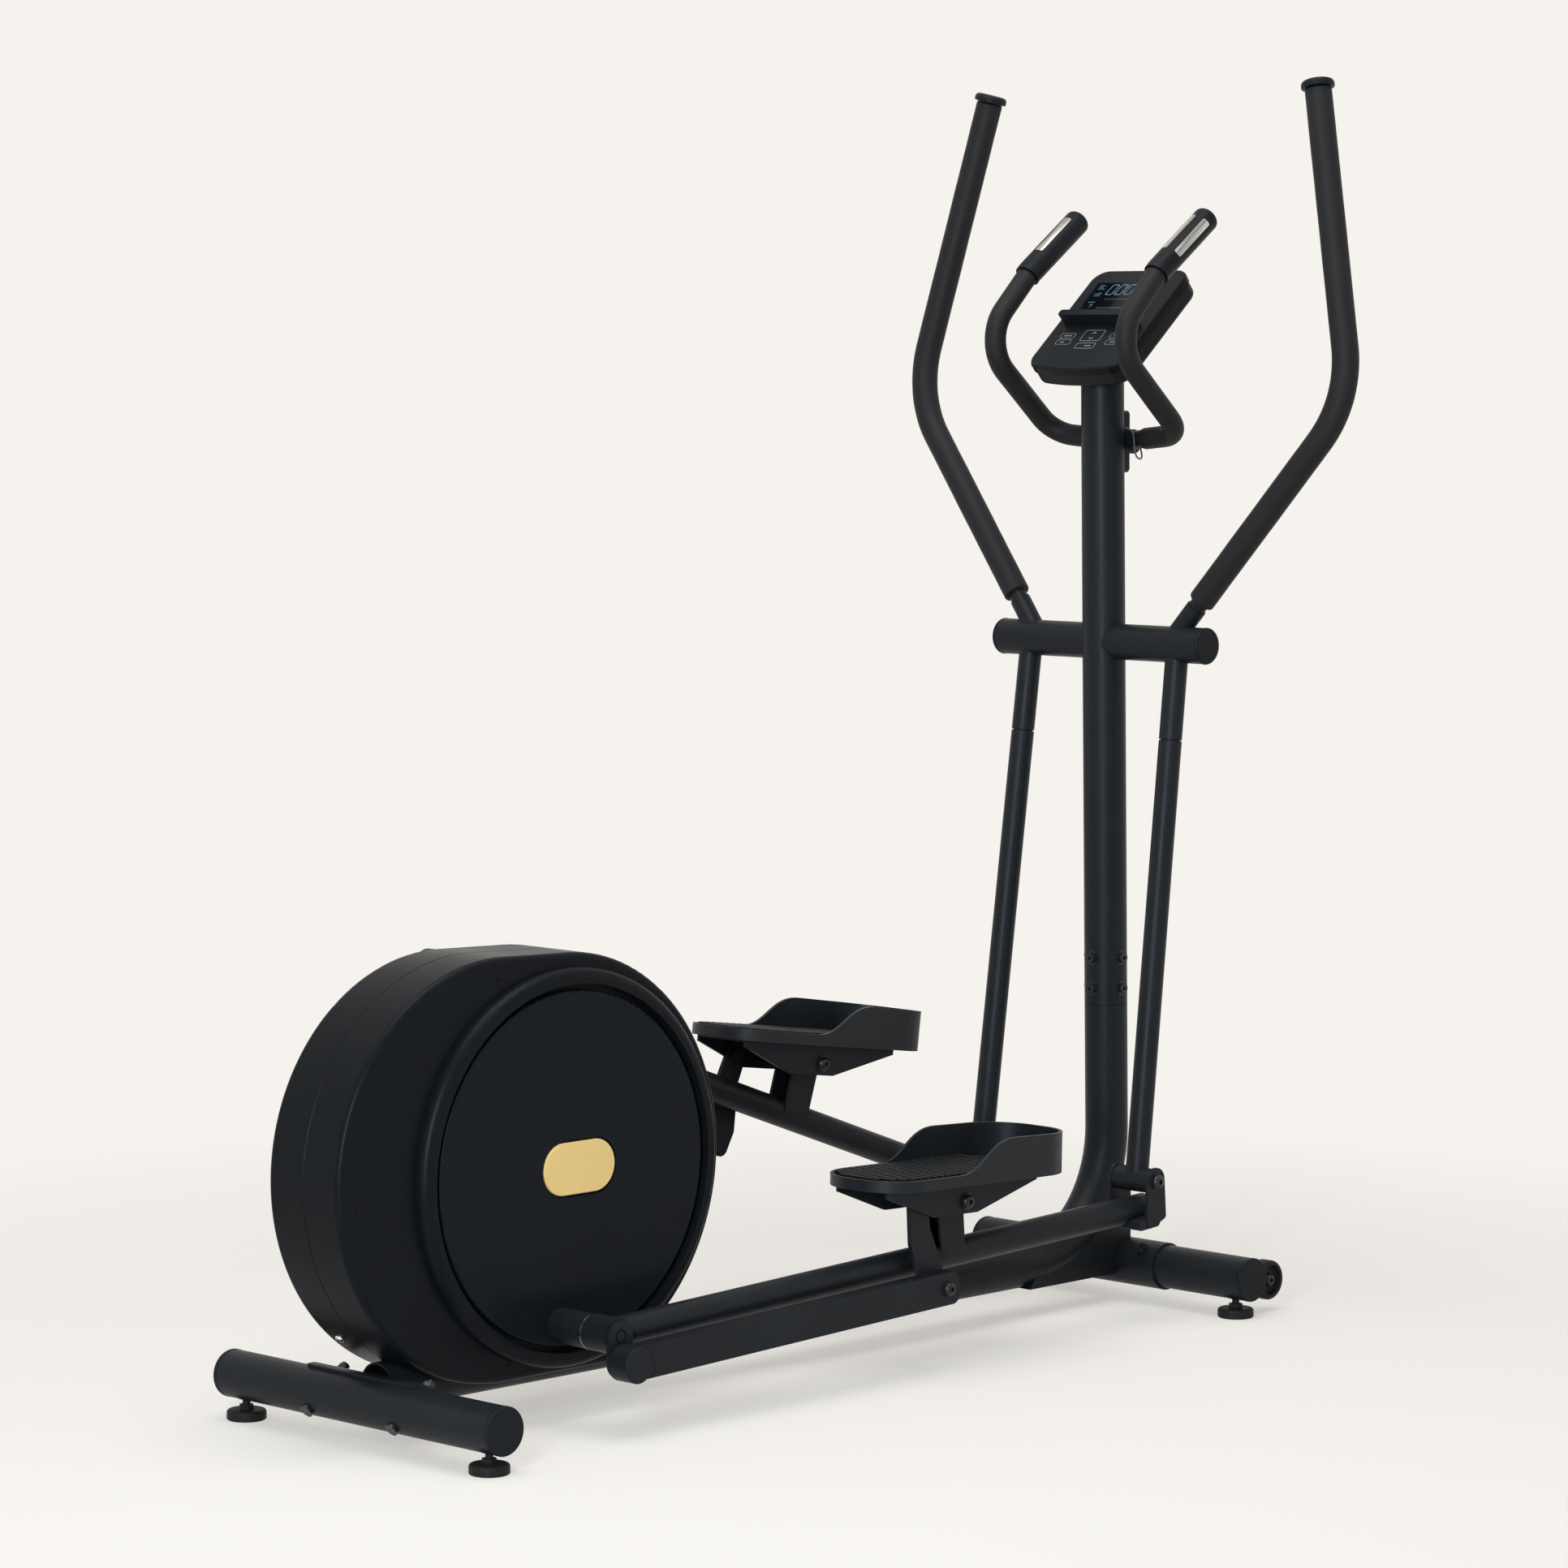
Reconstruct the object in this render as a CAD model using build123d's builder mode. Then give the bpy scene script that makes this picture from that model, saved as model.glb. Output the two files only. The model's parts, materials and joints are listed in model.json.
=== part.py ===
from build123d import *
import os
from math import asin, atan2, cos, degrees, hypot, radians, sin, sqrt, tan

os.makedirs("parts", exist_ok=True)

# Elliptical trainer, in millimetres. X runs forward to the mast, Y to the left, Z up from the floor.
# Sizes along X are given as distances ahead of the rear stabiliser
# and shifted by REAR_X at the end of this list.

# Fits
RUN = 0.05            # radial running clearance of a turning piece
SEAT = 0.3            # gap between neighbours that do not slide on each other
BOLT_GAP = 0.3        # radial gap of a bolt in its hole

# Floor frame
WHEELBASE = 1400.0
STAB_Z = 55.0
STAB_R = 30.0
STAB_WALL = 2.0
REAR_HALF = 255.0
FRONT_HALF = 250.0
REAR_FOOT_Y = 226.0
FRONT_FOOT_Y = 219.0
FOOT_R = 25.0
STUD_R = 5.0
MAIN_R = 30.0
MAIN_WALL = 2.5
BEAM_Z = 70.0
BEND_R = 175.0
MAST_AHEAD = WHEELBASE - 23.4
MAST_REF_Z = 346.0
MAST_LEAN = 0.0163
JOINT_Z = 421.0
NECK_TOP = 530.0
MAST_TOP = 1290.0
WHEEL_R = 27.5
WHEEL_Y = 222.0
WHEEL_WIDE = 22.0

# Handles
CROSS_Z = 930.0
CROSS_R = 25.0
CROSS_HALF = 100.5
SLEEVE_END = 184.0
AXLE_R = 10.0
HANDLE_REACH = 737.0
REST_SWING = 7.2
ARM_R = 16.0
ARM_TOP_Y = 134.4
HINGE_Y = 144.5
GRIP_CORE_R = 12.5
GRIP_R = 18.5
GRIP_BEND_Y = 398.0
GRIP_BEND_UP = 340.6
GRIP_TOP_Y = 299.5
GRIP_TOP_UP = 766.0
GRIP_BEND_R = 150.0
GRIP_SET_BACK = 5.5
CAP_R = 23.0
SOCKET_DOWN = 131.0

# Drive
CRANK_AHEAD = 276.4
CRANK_R = 196.0
DISC_R = CRANK_R + 27.0
CRANK_Z = DISC_R + 97.0
DRUM_FRONT_R = DISC_R + 45.4
DRUM_REAR_R = DISC_R + 41.4
DRUM_REAR_AHEAD = CRANK_AHEAD - 107.7
DRUM_REAR_Z = CRANK_Z + 7.5
DRUM_HALF = 66.0
DRUM_WALL = 3.0
DRUM_FLOOR = 62.0
RING_R = DISC_R + 28.0
RING_OUT = DRUM_HALF + 18.0
DISC_OUT = DRUM_HALF + 14.0
DISC_GAP = 8.0
BOSS_R = 22.5
BOSS_OUT = DISC_OUT + 38.0
BADGE_LONG = 120.0
BADGE_HIGH = 66.0
BADGE_AHEAD = 10.0
FLY_BACK = 216.0
FLY_Z = CRANK_Z - 20.0
FLY_R = 110.0
PULLEY_R = 130.0
FLY_PULLEY_R = 20.0
BELT_THICK = 3.0

# Pedal tubes, pedals and control links
TUBE_R = 19.0
TUBE_WALL = 2.0
EYE_IN = BOSS_OUT + 22.2
EYE_OUT = EYE_IN + 43.4
EYE_R = 23.0
PIN_Y = EYE_OUT - 20.0
TUBE_DROP = 40.5
PEDAL_BACK = 399.0
PEDAL_UP = 51.0
PEDAL_Y = PIN_Y - 13.6
PEDAL_LONG = 366.0
PEDAL_WIDE = 150.0
PEDAL_AHEAD = PEDAL_LONG - 173.0
TRAY_UP = 25.5
TRAY_RIM = 15.0
TOE_WALL = 57.0
BRACKET_HALF = 42.0
BRACKET_THICK = 4.0
REST_TILT_RIGHT = 1.5
REST_TILT_LEFT = 7.9
LINK_BACK = 86.0
LINK_DROP = 110.8
LEVER_LEAN = 30.0
RETURN_R = 32.0
WEB_OUT = EYE_OUT + 5.4
BARREL_OUT = WEB_OUT + 33.0
BAR_HIGH = 43.0

# Fixed handlebar and console
BAR_R = 13.0
BAR_FOAM_R = 15.0
PULSE_R = 18.0
CONSOLE_WIDE = 171.0
CONSOLE_LONG = 202.0
CONSOLE_BOW = 8.0
CONSOLE_THICK = 37.0
CONSOLE_TILT = 40.9
CONSOLE_Z = MAST_TOP + 90.2


def mast_ahead(z):
    return MAST_AHEAD - MAST_LEAN * (z - MAST_REF_Z)


WHEEL_AHEAD = WHEELBASE + STAB_R + WHEEL_R + 2.5
WHEEL_Z = 45.0
CROSS_AHEAD = mast_ahead(CROSS_Z)
SWING = radians(REST_SWING)
GRIP_FRONT = CROSS_AHEAD + (GRIP_TOP_UP + 6.0) * sin(SWING) - GRIP_SET_BACK * cos(SWING) + CAP_R
FRONT_REACH = max(WHEEL_AHEAD + WHEEL_R, GRIP_FRONT)
REAR_REACH = min(DRUM_REAR_AHEAD - DRUM_REAR_R, -STAB_R)
REAR_X = -(FRONT_REACH + REAR_REACH) / 2


def mast_x(z):
    return REAR_X + mast_ahead(z)


FRONT_X = REAR_X + WHEELBASE
CROSS_X = REAR_X + CROSS_AHEAD
CRANK_X = REAR_X + CRANK_AHEAD
DRUM_REAR_X = REAR_X + DRUM_REAR_AHEAD
FLY_X = CRANK_X - FLY_BACK
WHEEL_X = REAR_X + WHEEL_AHEAD

# Linkage at rest: both handles hang at the same angle, one crank pin is low and the other is high.
HINGE_X = CROSS_X - HANDLE_REACH * sin(SWING)
HINGE_Z = CROSS_Z - HANDLE_REACH * cos(SWING)
SPAN = hypot(HINGE_X - CRANK_X, HINGE_Z - CRANK_Z)
ALONG = ((HINGE_X - CRANK_X) / SPAN, (HINGE_Z - CRANK_Z) / SPAN)
ARM_LONG = hypot(SPAN, CRANK_R)
PIN = {
    "right": (CRANK_X + CRANK_R * ALONG[1], CRANK_Z - CRANK_R * ALONG[0]),
    "left": (CRANK_X - CRANK_R * ALONG[1], CRANK_Z + CRANK_R * ALONG[0]),
}
RETURN_PIN = {
    "right": (PIN["right"][0], PIN["right"][1] - RETURN_R),
    "left": (PIN["left"][0], PIN["left"][1] + RETURN_R),
}


def turned(x, z, angle):
    a = radians(angle)
    return (x * cos(a) + z * sin(a), z * cos(a) - x * sin(a))


ARM_TURN = {}
PEDAL_PIN = {}
PEDAL_TURN = {"right": REST_TILT_RIGHT, "left": REST_TILT_LEFT}
LINK_PIN = {}
LINK_TURN = {}
for side in ("right", "left"):
    ARM_TURN[side] = degrees(asin((PIN[side][1] - HINGE_Z) / ARM_LONG))
    dx, dz = turned(-PEDAL_BACK, PEDAL_UP, ARM_TURN[side])
    PEDAL_PIN[side] = (HINGE_X + dx, HINGE_Z + dz)
    dx, dz = turned(-LINK_BACK, 0, PEDAL_TURN[side])
    LINK_PIN[side] = (PEDAL_PIN[side][0] + dx, PEDAL_PIN[side][1] + dz)

# The link is as long as the right-hand side asks for; the left one is turned to point at its return pin.
SPAN_X = RETURN_PIN["right"][0] - LINK_PIN["right"][0]
SPAN_Z = RETURN_PIN["right"][1] - LINK_PIN["right"][1]
LINK_SPAN = hypot(SPAN_X, SPAN_Z)
LINK_LONG = sqrt(LINK_SPAN ** 2 - LINK_DROP ** 2)
for side in ("right", "left"):
    back = LINK_PIN[side][0] - RETURN_PIN[side][0]
    rise = RETURN_PIN[side][1] - LINK_PIN[side][1]
    LINK_TURN[side] = degrees(atan2(rise, back)) + degrees(atan2(LINK_DROP, LINK_LONG))


def save(piece, name):
    piece.label = name
    export_step(piece, f"parts/{name}.step")


def rod(x, z, start, end, radius, mode=Mode.ADD):
    # Round bar along Y between two distances out on the right-hand side
    with BuildSketch(Plane.XZ.offset(start)) as end_face:
        with Locations((x, z)):
            Circle(radius)
    extrude(end_face.sketch, amount=end - start, mode=mode)


def hull_plate(circles, start, end, mode=Mode.ADD):
    # Flat plate whose outline wraps a few circles
    with BuildSketch(Plane.XZ.offset(start)) as outline:
        for x, z, radius in circles:
            with Locations((x, z)):
                Circle(radius)
        make_hull()
    extrude(outline.sketch, amount=end - start, mode=mode)


def poly_plate(points, start, end, corner=0.0, mode=Mode.ADD):
    # Flat plate with straight sides and one corner radius
    with BuildSketch(Plane.XZ.offset(start)) as outline:
        with BuildLine():
            if corner > 0:
                FilletPolyline(*points, radius=corner, close=True)
            else:
                Polyline(*points, close=True)
        make_face()
    extrude(outline.sketch, amount=end - start, mode=mode)


def pole(x, y, low, high, radius, mode=Mode.ADD):
    # Round bar standing on the XY plane
    with BuildSketch(Plane.XY.offset(low)) as end_face:
        with Locations((x, y)):
            Circle(radius)
    extrude(end_face.sketch, amount=high - low, mode=mode)


def bar_from(start, direction, length, radius, mode=Mode.ADD):
    # Round bar from a point along a direction
    with BuildSketch(Plane(origin=start, z_dir=direction)) as end_face:
        Circle(radius)
    extrude(end_face.sketch, amount=length, mode=mode)


def tube(points, radius, bore=0.0, bends=None):
    # Round tube swept along straight runs joined by arcs
    with BuildPart() as run:
        with BuildLine() as path:
            if bends is None:
                Line(*points)
            else:
                FilletPolyline(*points, radius=bends)
        with BuildSketch(Plane(origin=path.line @ 0, z_dir=path.line % 0)):
            Circle(radius)
            if bore > 0:
                Circle(bore, mode=Mode.SUBTRACT)
        sweep()
    return run.part


def placed(piece, pivot, turn, side):
    # A right-hand piece drawn about its pivot, turned and moved into place; the left one is its mirror image
    with BuildPart() as spot:
        with Locations(Location((pivot[0], 0, pivot[1]), (0, turn, 0))):
            add(piece)
        if side == "left":
            mirror(about=Plane.XZ, mode=Mode.REPLACE)
    return spot.part


def both_sides(piece):
    # The right-hand piece and its mirror image as one group
    with BuildPart() as pair:
        add(piece)
        mirror(piece, about=Plane.XZ)
    return pair.part


# Lower frame: the beam along the floor and its bend up into the mast stub
MAST_DIR = Vector(-MAST_LEAN, 0, 1).normalized()
beam_path = [
    (REAR_X + 20, 0, BEAM_Z),
    (mast_x(BEAM_Z), 0, BEAM_Z),
    (mast_x(JOINT_Z), 0, JOINT_Z),
]
beam_tube = tube(beam_path, MAIN_R, MAIN_R - MAIN_WALL, BEND_R)
beam_solid = tube(beam_path, MAIN_R, 0, BEND_R)
SADDLE_R = STAB_R + 4.5
BOLT_R = 4.0
MAST_BOLT_Z = (444.0, 487.0)
MAST_BOLT_DIRS = (Vector(-1, 0, -MAST_LEAN).normalized(), Vector(0, -1, 0), Vector(0, 1, 0))

with BuildPart() as lower_frame:
    add(beam_tube)
    low = (mast_x(JOINT_Z - 45), 0, JOINT_Z - 45)
    bar_from(low, MAST_DIR, 44.5, MAIN_R - MAIN_WALL + 0.5)
    bar_from(low, MAST_DIR, 45 + NECK_TOP - JOINT_Z, MAIN_R - MAIN_WALL - 0.2)
    bar_from(low, MAST_DIR, 60 + NECK_TOP - JOINT_Z, MAIN_R - MAIN_WALL - 3.5, mode=Mode.SUBTRACT)
    for z in MAST_BOLT_Z:
        for out in MAST_BOLT_DIRS:
            bar_from((mast_x(z), 0, z), out, 40, BOLT_R + BOLT_GAP, mode=Mode.SUBTRACT)
    rod(REAR_X, STAB_Z, -60, 60, SADDLE_R, mode=Mode.SUBTRACT)
save(lower_frame.part, "lower_frame")

# Front bracket: the gusset under the bend and the sleeve round the front stabiliser
BEND_X = mast_x(BEAM_Z) - BEND_R
ARC_IN = BEND_R * sin(radians(45))
FRONT_BOLT_Y = 70.0
FRONT_BOLT_DIR = Vector(-cos(radians(45)), 0, sin(radians(45)))
beam_clear = tube(beam_path, MAIN_R + 4, 0, BEND_R)
with BuildPart() as gusset_hollow:
    hollow = [
        (BEND_X + 10, BEAM_Z - MAIN_R + 4.5),
        (BEND_X + 0.55 * ARC_IN, BEAM_Z + 10),
        (BEND_X + ARC_IN, BEAM_Z + BEND_R - ARC_IN),
        (mast_x(200), 170),
        (FRONT_X - 4, 170),
        (FRONT_X - 4, BEAM_Z - MAIN_R + 4.5),
    ]
    poly_plate(hollow, -23, 23)
    add(beam_clear, mode=Mode.SUBTRACT)
    rod(FRONT_X, STAB_Z, -95, 95, STAB_R + 7.0, mode=Mode.SUBTRACT)
with BuildPart() as front_bracket:
    gusset = [
        (BEND_X - 18, BEAM_Z - MAIN_R + 0.5),
        (BEND_X, BEAM_Z - 5),
        (BEND_X + 0.55 * ARC_IN, BEAM_Z + 14),
        (BEND_X + ARC_IN, BEAM_Z + BEND_R - ARC_IN),
        (mast_x(200) - 12, 190),
        (FRONT_X, 190),
        (FRONT_X, BEAM_Z - MAIN_R + 0.5),
    ]
    poly_plate(gusset, -27, 27)
    add(beam_solid, mode=Mode.SUBTRACT)
    add(gusset_hollow.part, mode=Mode.SUBTRACT)
    rod(FRONT_X, STAB_Z, -95, 95, STAB_R + 3.0)
    rod(FRONT_X, STAB_Z, -96, 96, STAB_R + 0.05, mode=Mode.SUBTRACT)
    for y in (-FRONT_BOLT_Y, FRONT_BOLT_Y):
        bar_from((FRONT_X, y, STAB_Z), FRONT_BOLT_DIR, 45, BOLT_R + BOLT_GAP, mode=Mode.SUBTRACT)
save(front_bracket.part, "front_bracket")

# Rear saddle: a curved plate that joins the beam to the rear stabiliser
REAR_BOLT_Y = 79.0
REAR_BOLT_DIR = Vector(cos(radians(37)), 0, sin(radians(37)))
with BuildPart() as rear_saddle:
    rod(REAR_X, STAB_Z, -100, 100, SADDLE_R)
    rod(REAR_X, STAB_Z, -101, 101, STAB_R + 0.05, mode=Mode.SUBTRACT)
    poly_plate(
        [(REAR_X - 60, STAB_Z - 60), (REAR_X - 18, STAB_Z + 60), (REAR_X - 60, STAB_Z + 60)],
        -101,
        101,
        mode=Mode.SUBTRACT,
    )
    poly_plate(
        [
            (REAR_X, STAB_Z),
            (REAR_X - 12, STAB_Z + 60),
            (REAR_X - 60, STAB_Z + 60),
            (REAR_X - 60, STAB_Z - 60),
            (REAR_X + 40, STAB_Z - 60),
        ],
        -101,
        101,
        mode=Mode.SUBTRACT,
    )
    for y in (-REAR_BOLT_Y, REAR_BOLT_Y):
        bar_from((REAR_X, y, STAB_Z), REAR_BOLT_DIR, 60, BOLT_R + BOLT_GAP, mode=Mode.SUBTRACT)
save(rear_saddle.part, "rear_saddle")


def stabiliser(x, half, foot_y, bolt_y, bolt_dir, back_too):
    # Round cross tube with a threaded boss for each levelling foot
    with BuildPart() as cross:
        rod(x, STAB_Z, -half + 6, half - 6, STAB_R)
        rod(x, STAB_Z, -half, half, STAB_R - STAB_WALL, mode=Mode.SUBTRACT)
        for y in (-foot_y, foot_y):
            pole(x, y, STAB_Z - STAB_R + 1.0, STAB_Z - STAB_R + 15, STUD_R + 4.5)
            pole(x, y, STAB_Z - STAB_R - 5, STAB_Z - STAB_R + 20, STUD_R + RUN, mode=Mode.SUBTRACT)
        for y in (-bolt_y, bolt_y):
            start = Vector(x, y, STAB_Z) - bolt_dir * (40 if back_too else 0)
            reach = 80 if back_too else 40
            bar_from(start, bolt_dir, reach, BOLT_R + BOLT_GAP, mode=Mode.SUBTRACT)
    return cross.part


rear_stabiliser = stabiliser(REAR_X, REAR_HALF, REAR_FOOT_Y, REAR_BOLT_Y, REAR_BOLT_DIR, True)
save(rear_stabiliser, "rear_stabiliser")
front_stabiliser = stabiliser(FRONT_X, FRONT_HALF, FRONT_FOOT_Y, FRONT_BOLT_Y, FRONT_BOLT_DIR, False)
save(front_stabiliser, "front_stabiliser")

# End caps of both stabilisers
with BuildPart() as stabiliser_caps:
    for x, half in ((REAR_X, REAR_HALF), (FRONT_X, FRONT_HALF)):
        for flip in (1, -1):
            rod(x, STAB_Z, flip * (half - 6), flip * half, STAB_R + 0.4)
            rod(x, STAB_Z, flip * (half - 12), flip * (half - 6), STAB_R - STAB_WALL - 0.1)
    edges = stabiliser_caps.edges().filter_by(GeomType.CIRCLE)
    cap_ends = (REAR_HALF, FRONT_HALF)
    rims = [e for e in edges if min(abs(abs(e.center().Y) - reach) for reach in cap_ends) < 0.01]
    fillet(rims, radius=2.0)
save(stabiliser_caps.part, "stabiliser_caps")


def foot(x, y):
    # Levelling foot: round pad, neck nut and threaded stud
    with BuildPart() as pad:
        pole(x, y, 0, 13, FOOT_R)
        fillet(pad.edges().group_by(Axis.Z)[-1], radius=4.0)
        chamfer(pad.edges().group_by(Axis.Z)[0], length=1.5)
        with BuildSketch(Plane.XY.offset(12.5)):
            with Locations((x, y)):
                RegularPolygon(radius=9.5, side_count=6)
        extrude(amount=6.5)
        pole(x, y, 18, STAB_Z - STAB_R + 13, STUD_R)
    return pad.part


save(foot(REAR_X, -REAR_FOOT_Y), "foot_rear_right")
save(foot(REAR_X, REAR_FOOT_Y), "foot_rear_left")
save(foot(FRONT_X, -FRONT_FOOT_Y), "foot_front_right")
save(foot(FRONT_X, FRONT_FOOT_Y), "foot_front_left")

# Mast post with the crossbar welded through it
mast_tube = tube([(mast_x(JOINT_Z + 0.6), 0, JOINT_Z + 0.6), (mast_x(MAST_TOP), 0, MAST_TOP)], MAIN_R)
PLUG_R = 21.0
with BuildPart() as mast:
    add(mast_tube)
    rod(CROSS_X, CROSS_Z, -CROSS_HALF, CROSS_HALF, CROSS_R)
    mast_foot = (mast_x(JOINT_Z - 20), 0, JOINT_Z - 20)
    bar_from(mast_foot, MAST_DIR, MAST_TOP - JOINT_Z + 60, MAIN_R - MAIN_WALL, mode=Mode.SUBTRACT)
    rod(CROSS_X, CROSS_Z, -CROSS_HALF - 5, CROSS_HALF + 5, PLUG_R, mode=Mode.SUBTRACT)
    for z in MAST_BOLT_Z:
        for out in MAST_BOLT_DIRS:
            bar_from((mast_x(z), 0, z), out, 40, BOLT_R + BOLT_GAP, mode=Mode.SUBTRACT)
save(mast.part, "mast")

# Handle axle and the two plugs that hold it in the crossbar
with BuildPart() as handle_axle:
    rod(CROSS_X, CROSS_Z, -SLEEVE_END + 2, SLEEVE_END - 2, AXLE_R)
save(handle_axle.part, "handle_axle")

with BuildPart() as axle_plugs:
    for flip in (1, -1):
        rod(CROSS_X, CROSS_Z, flip * (CROSS_HALF - 45), flip * CROSS_HALF, PLUG_R - 0.05)
        bore_in = flip * (CROSS_HALF - 46)
        bore_out = flip * (CROSS_HALF + 1)
        rod(CROSS_X, CROSS_Z, bore_in, bore_out, AXLE_R + 0.05, mode=Mode.SUBTRACT)
save(axle_plugs.part, "axle_plugs")


def headed_bolt(seat, out, washer, shank, cap=False):
    # Button-head or cap-nut bolt: washer on the seat, head outside it, shank inwards
    bar_from(seat, out, 2.0, washer)
    if cap:
        with BuildSketch(Plane(origin=seat + out * 2.0, z_dir=out)) as hexagon:
            RegularPolygon(radius=8.0, side_count=6)
        extrude(hexagon.sketch, amount=7.0)
        bar_from(seat + out * 8.5, out, 5.0, 5.8)
    else:
        bar_from(seat + out * 2.0, out, 4.2, 7.0)
        with BuildSketch(Plane(origin=seat + out * 6.3, z_dir=-out)) as socket:
            RegularPolygon(radius=2.9, side_count=6)
        extrude(socket.sketch, amount=2.2, mode=Mode.SUBTRACT)
    bar_from(seat - out * shank, out, shank + 1.0, BOLT_R)


# Bolts of the frame: six at the mast joint, two at each stabiliser, two wheel bolts
with BuildPart() as frame_bolts:
    for z in MAST_BOLT_Z:
        for out in MAST_BOLT_DIRS:
            headed_bolt(Vector(mast_x(z), 0, z) + out * (MAIN_R - 1.9), out, 10.5, 10)
    add(mast_tube, mode=Mode.SUBTRACT)
    for z in MAST_BOLT_Z:
        for out in MAST_BOLT_DIRS:
            bar_from(Vector(mast_x(z), 0, z) + out * (MAIN_R - 10), out, 11.5, BOLT_R)
    for y in (-FRONT_BOLT_Y, FRONT_BOLT_Y):
        headed_bolt(Vector(FRONT_X, y, STAB_Z) + FRONT_BOLT_DIR * (STAB_R + 3.0), FRONT_BOLT_DIR, 9.0, 14)
    for y in (-REAR_BOLT_Y, REAR_BOLT_Y):
        mid = Vector(REAR_X, y, STAB_Z)
        headed_bolt(mid + REAR_BOLT_DIR * SADDLE_R, REAR_BOLT_DIR, 9.0, SADDLE_R + STAB_R, cap=True)
        bar_from(mid - REAR_BOLT_DIR * STAB_R, -REAR_BOLT_DIR, 4.0, 9.0)
    for flip in (1, -1):
        rod(WHEEL_X, WHEEL_Z, flip * (WHEEL_Y - 21), flip * (WHEEL_Y + 8), 5.0)
        rod(WHEEL_X, WHEEL_Z, flip * (WHEEL_Y + 7), flip * (WHEEL_Y + 8.6), 8.0)
        rod(WHEEL_X, WHEEL_Z, flip * (WHEEL_Y - 25), flip * (WHEEL_Y - 19), 7.5)
save(frame_bolts.part, "frame_bolts")

# Brackets that carry the transport wheels, welded to the front of the stabiliser
with BuildPart() as wheel_brackets:
    for flip in (1, -1):
        hull_plate(
            [(FRONT_X + 22, STAB_Z + 6, 14), (WHEEL_X, WHEEL_Z, 13)],
            flip * (WHEEL_Y - 19),
            flip * (WHEEL_Y - 14),
        )
    rod(FRONT_X, STAB_Z, -FRONT_HALF, FRONT_HALF, STAB_R, mode=Mode.SUBTRACT)
    rod(WHEEL_X, WHEEL_Z, -FRONT_HALF, FRONT_HALF, 5.0 + BOLT_GAP, mode=Mode.SUBTRACT)
save(wheel_brackets.part, "wheel_brackets")

# Transport wheel: tyre with dished sides
with BuildPart() as wheel:
    rod(WHEEL_X, WHEEL_Z, WHEEL_Y - WHEEL_WIDE / 2, WHEEL_Y + WHEEL_WIDE / 2, WHEEL_R)
    fillet(wheel.edges().filter_by(GeomType.CIRCLE), radius=4.0)
    for start, end in ((WHEEL_Y - 12, WHEEL_Y - 7), (WHEEL_Y + 5, WHEEL_Y + 12)):
        rod(WHEEL_X, WHEEL_Z, start, end, WHEEL_R - 6.5, mode=Mode.SUBTRACT)
    rod(WHEEL_X, WHEEL_Z, WHEEL_Y - 13.5, WHEEL_Y + 6.7, 10.0)
    rod(WHEEL_X, WHEEL_Z, WHEEL_Y - 20, WHEEL_Y + 20, 5.0 + RUN, mode=Mode.SUBTRACT)
save(wheel.part, "right_wheel")
with BuildPart() as left_wheel:
    mirror(wheel.part, about=Plane.XZ)
save(left_wheel.part, "left_wheel")


# Housing: two shells that meet on the centre plane, with a raised ring round each crank disc
def drum_sketch(inset, floor):
    for x, z, radius in ((CRANK_X, CRANK_Z, DRUM_FRONT_R), (DRUM_REAR_X, DRUM_REAR_Z, DRUM_REAR_R)):
        with Locations((x, z)):
            Circle(radius - inset)
    make_hull()
    with Locations((CRANK_X, floor - 200)):
        Rectangle(1200, 400, mode=Mode.SUBTRACT)


with BuildPart() as housing_right:
    with BuildSketch(Plane.XZ.offset(SEAT / 2)):
        drum_sketch(0, DRUM_FLOOR)
    extrude(amount=DRUM_HALF - SEAT / 2)
    fillet(housing_right.faces().sort_by(Axis.Y)[0].edges(), radius=8.5)
    chamfer(housing_right.faces().sort_by(Axis.Y)[-1].edges(), length=0.9)
    with BuildSketch(Plane.XZ.offset(0)):
        drum_sketch(DRUM_WALL, DRUM_FLOOR + DRUM_WALL)
    extrude(amount=DRUM_HALF - DRUM_WALL, mode=Mode.SUBTRACT)
    rod(CRANK_X, CRANK_Z, DRUM_HALF - DRUM_WALL, RING_OUT, RING_R)
    ring_rim = [
        e
        for e in housing_right.edges().filter_by(GeomType.CIRCLE)
        if abs(e.center().Y + RING_OUT) < 0.01 and abs(e.radius - RING_R) < 0.01
    ]
    fillet(ring_rim, radius=14.0)
    recess = DISC_R + DISC_GAP
    rod(CRANK_X, CRANK_Z, DRUM_HALF, RING_OUT + 1, recess, mode=Mode.SUBTRACT)
    rod(CRANK_X, CRANK_Z, DRUM_HALF - DRUM_WALL - 1, DRUM_HALF + 1, 34.0, mode=Mode.SUBTRACT)
    with BuildSketch(Plane.XZ.offset(DRUM_HALF - DRUM_WALL - 1)):
        with Locations((CRANK_X, CRANK_Z)):
            Circle(RING_R - 6)
            Circle(recess + 2.5, mode=Mode.SUBTRACT)
    extrude(amount=12, mode=Mode.SUBTRACT)
    bar_from((REAR_X - 120, 0, BEAM_Z), Vector(1, 0, 0), 800, MAIN_R + SEAT, mode=Mode.SUBTRACT)
save(housing_right.part, "housing_right")
with BuildPart() as housing_left:
    mirror(housing_right.part, about=Plane.XZ)
save(housing_left.part, "housing_left")

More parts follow.
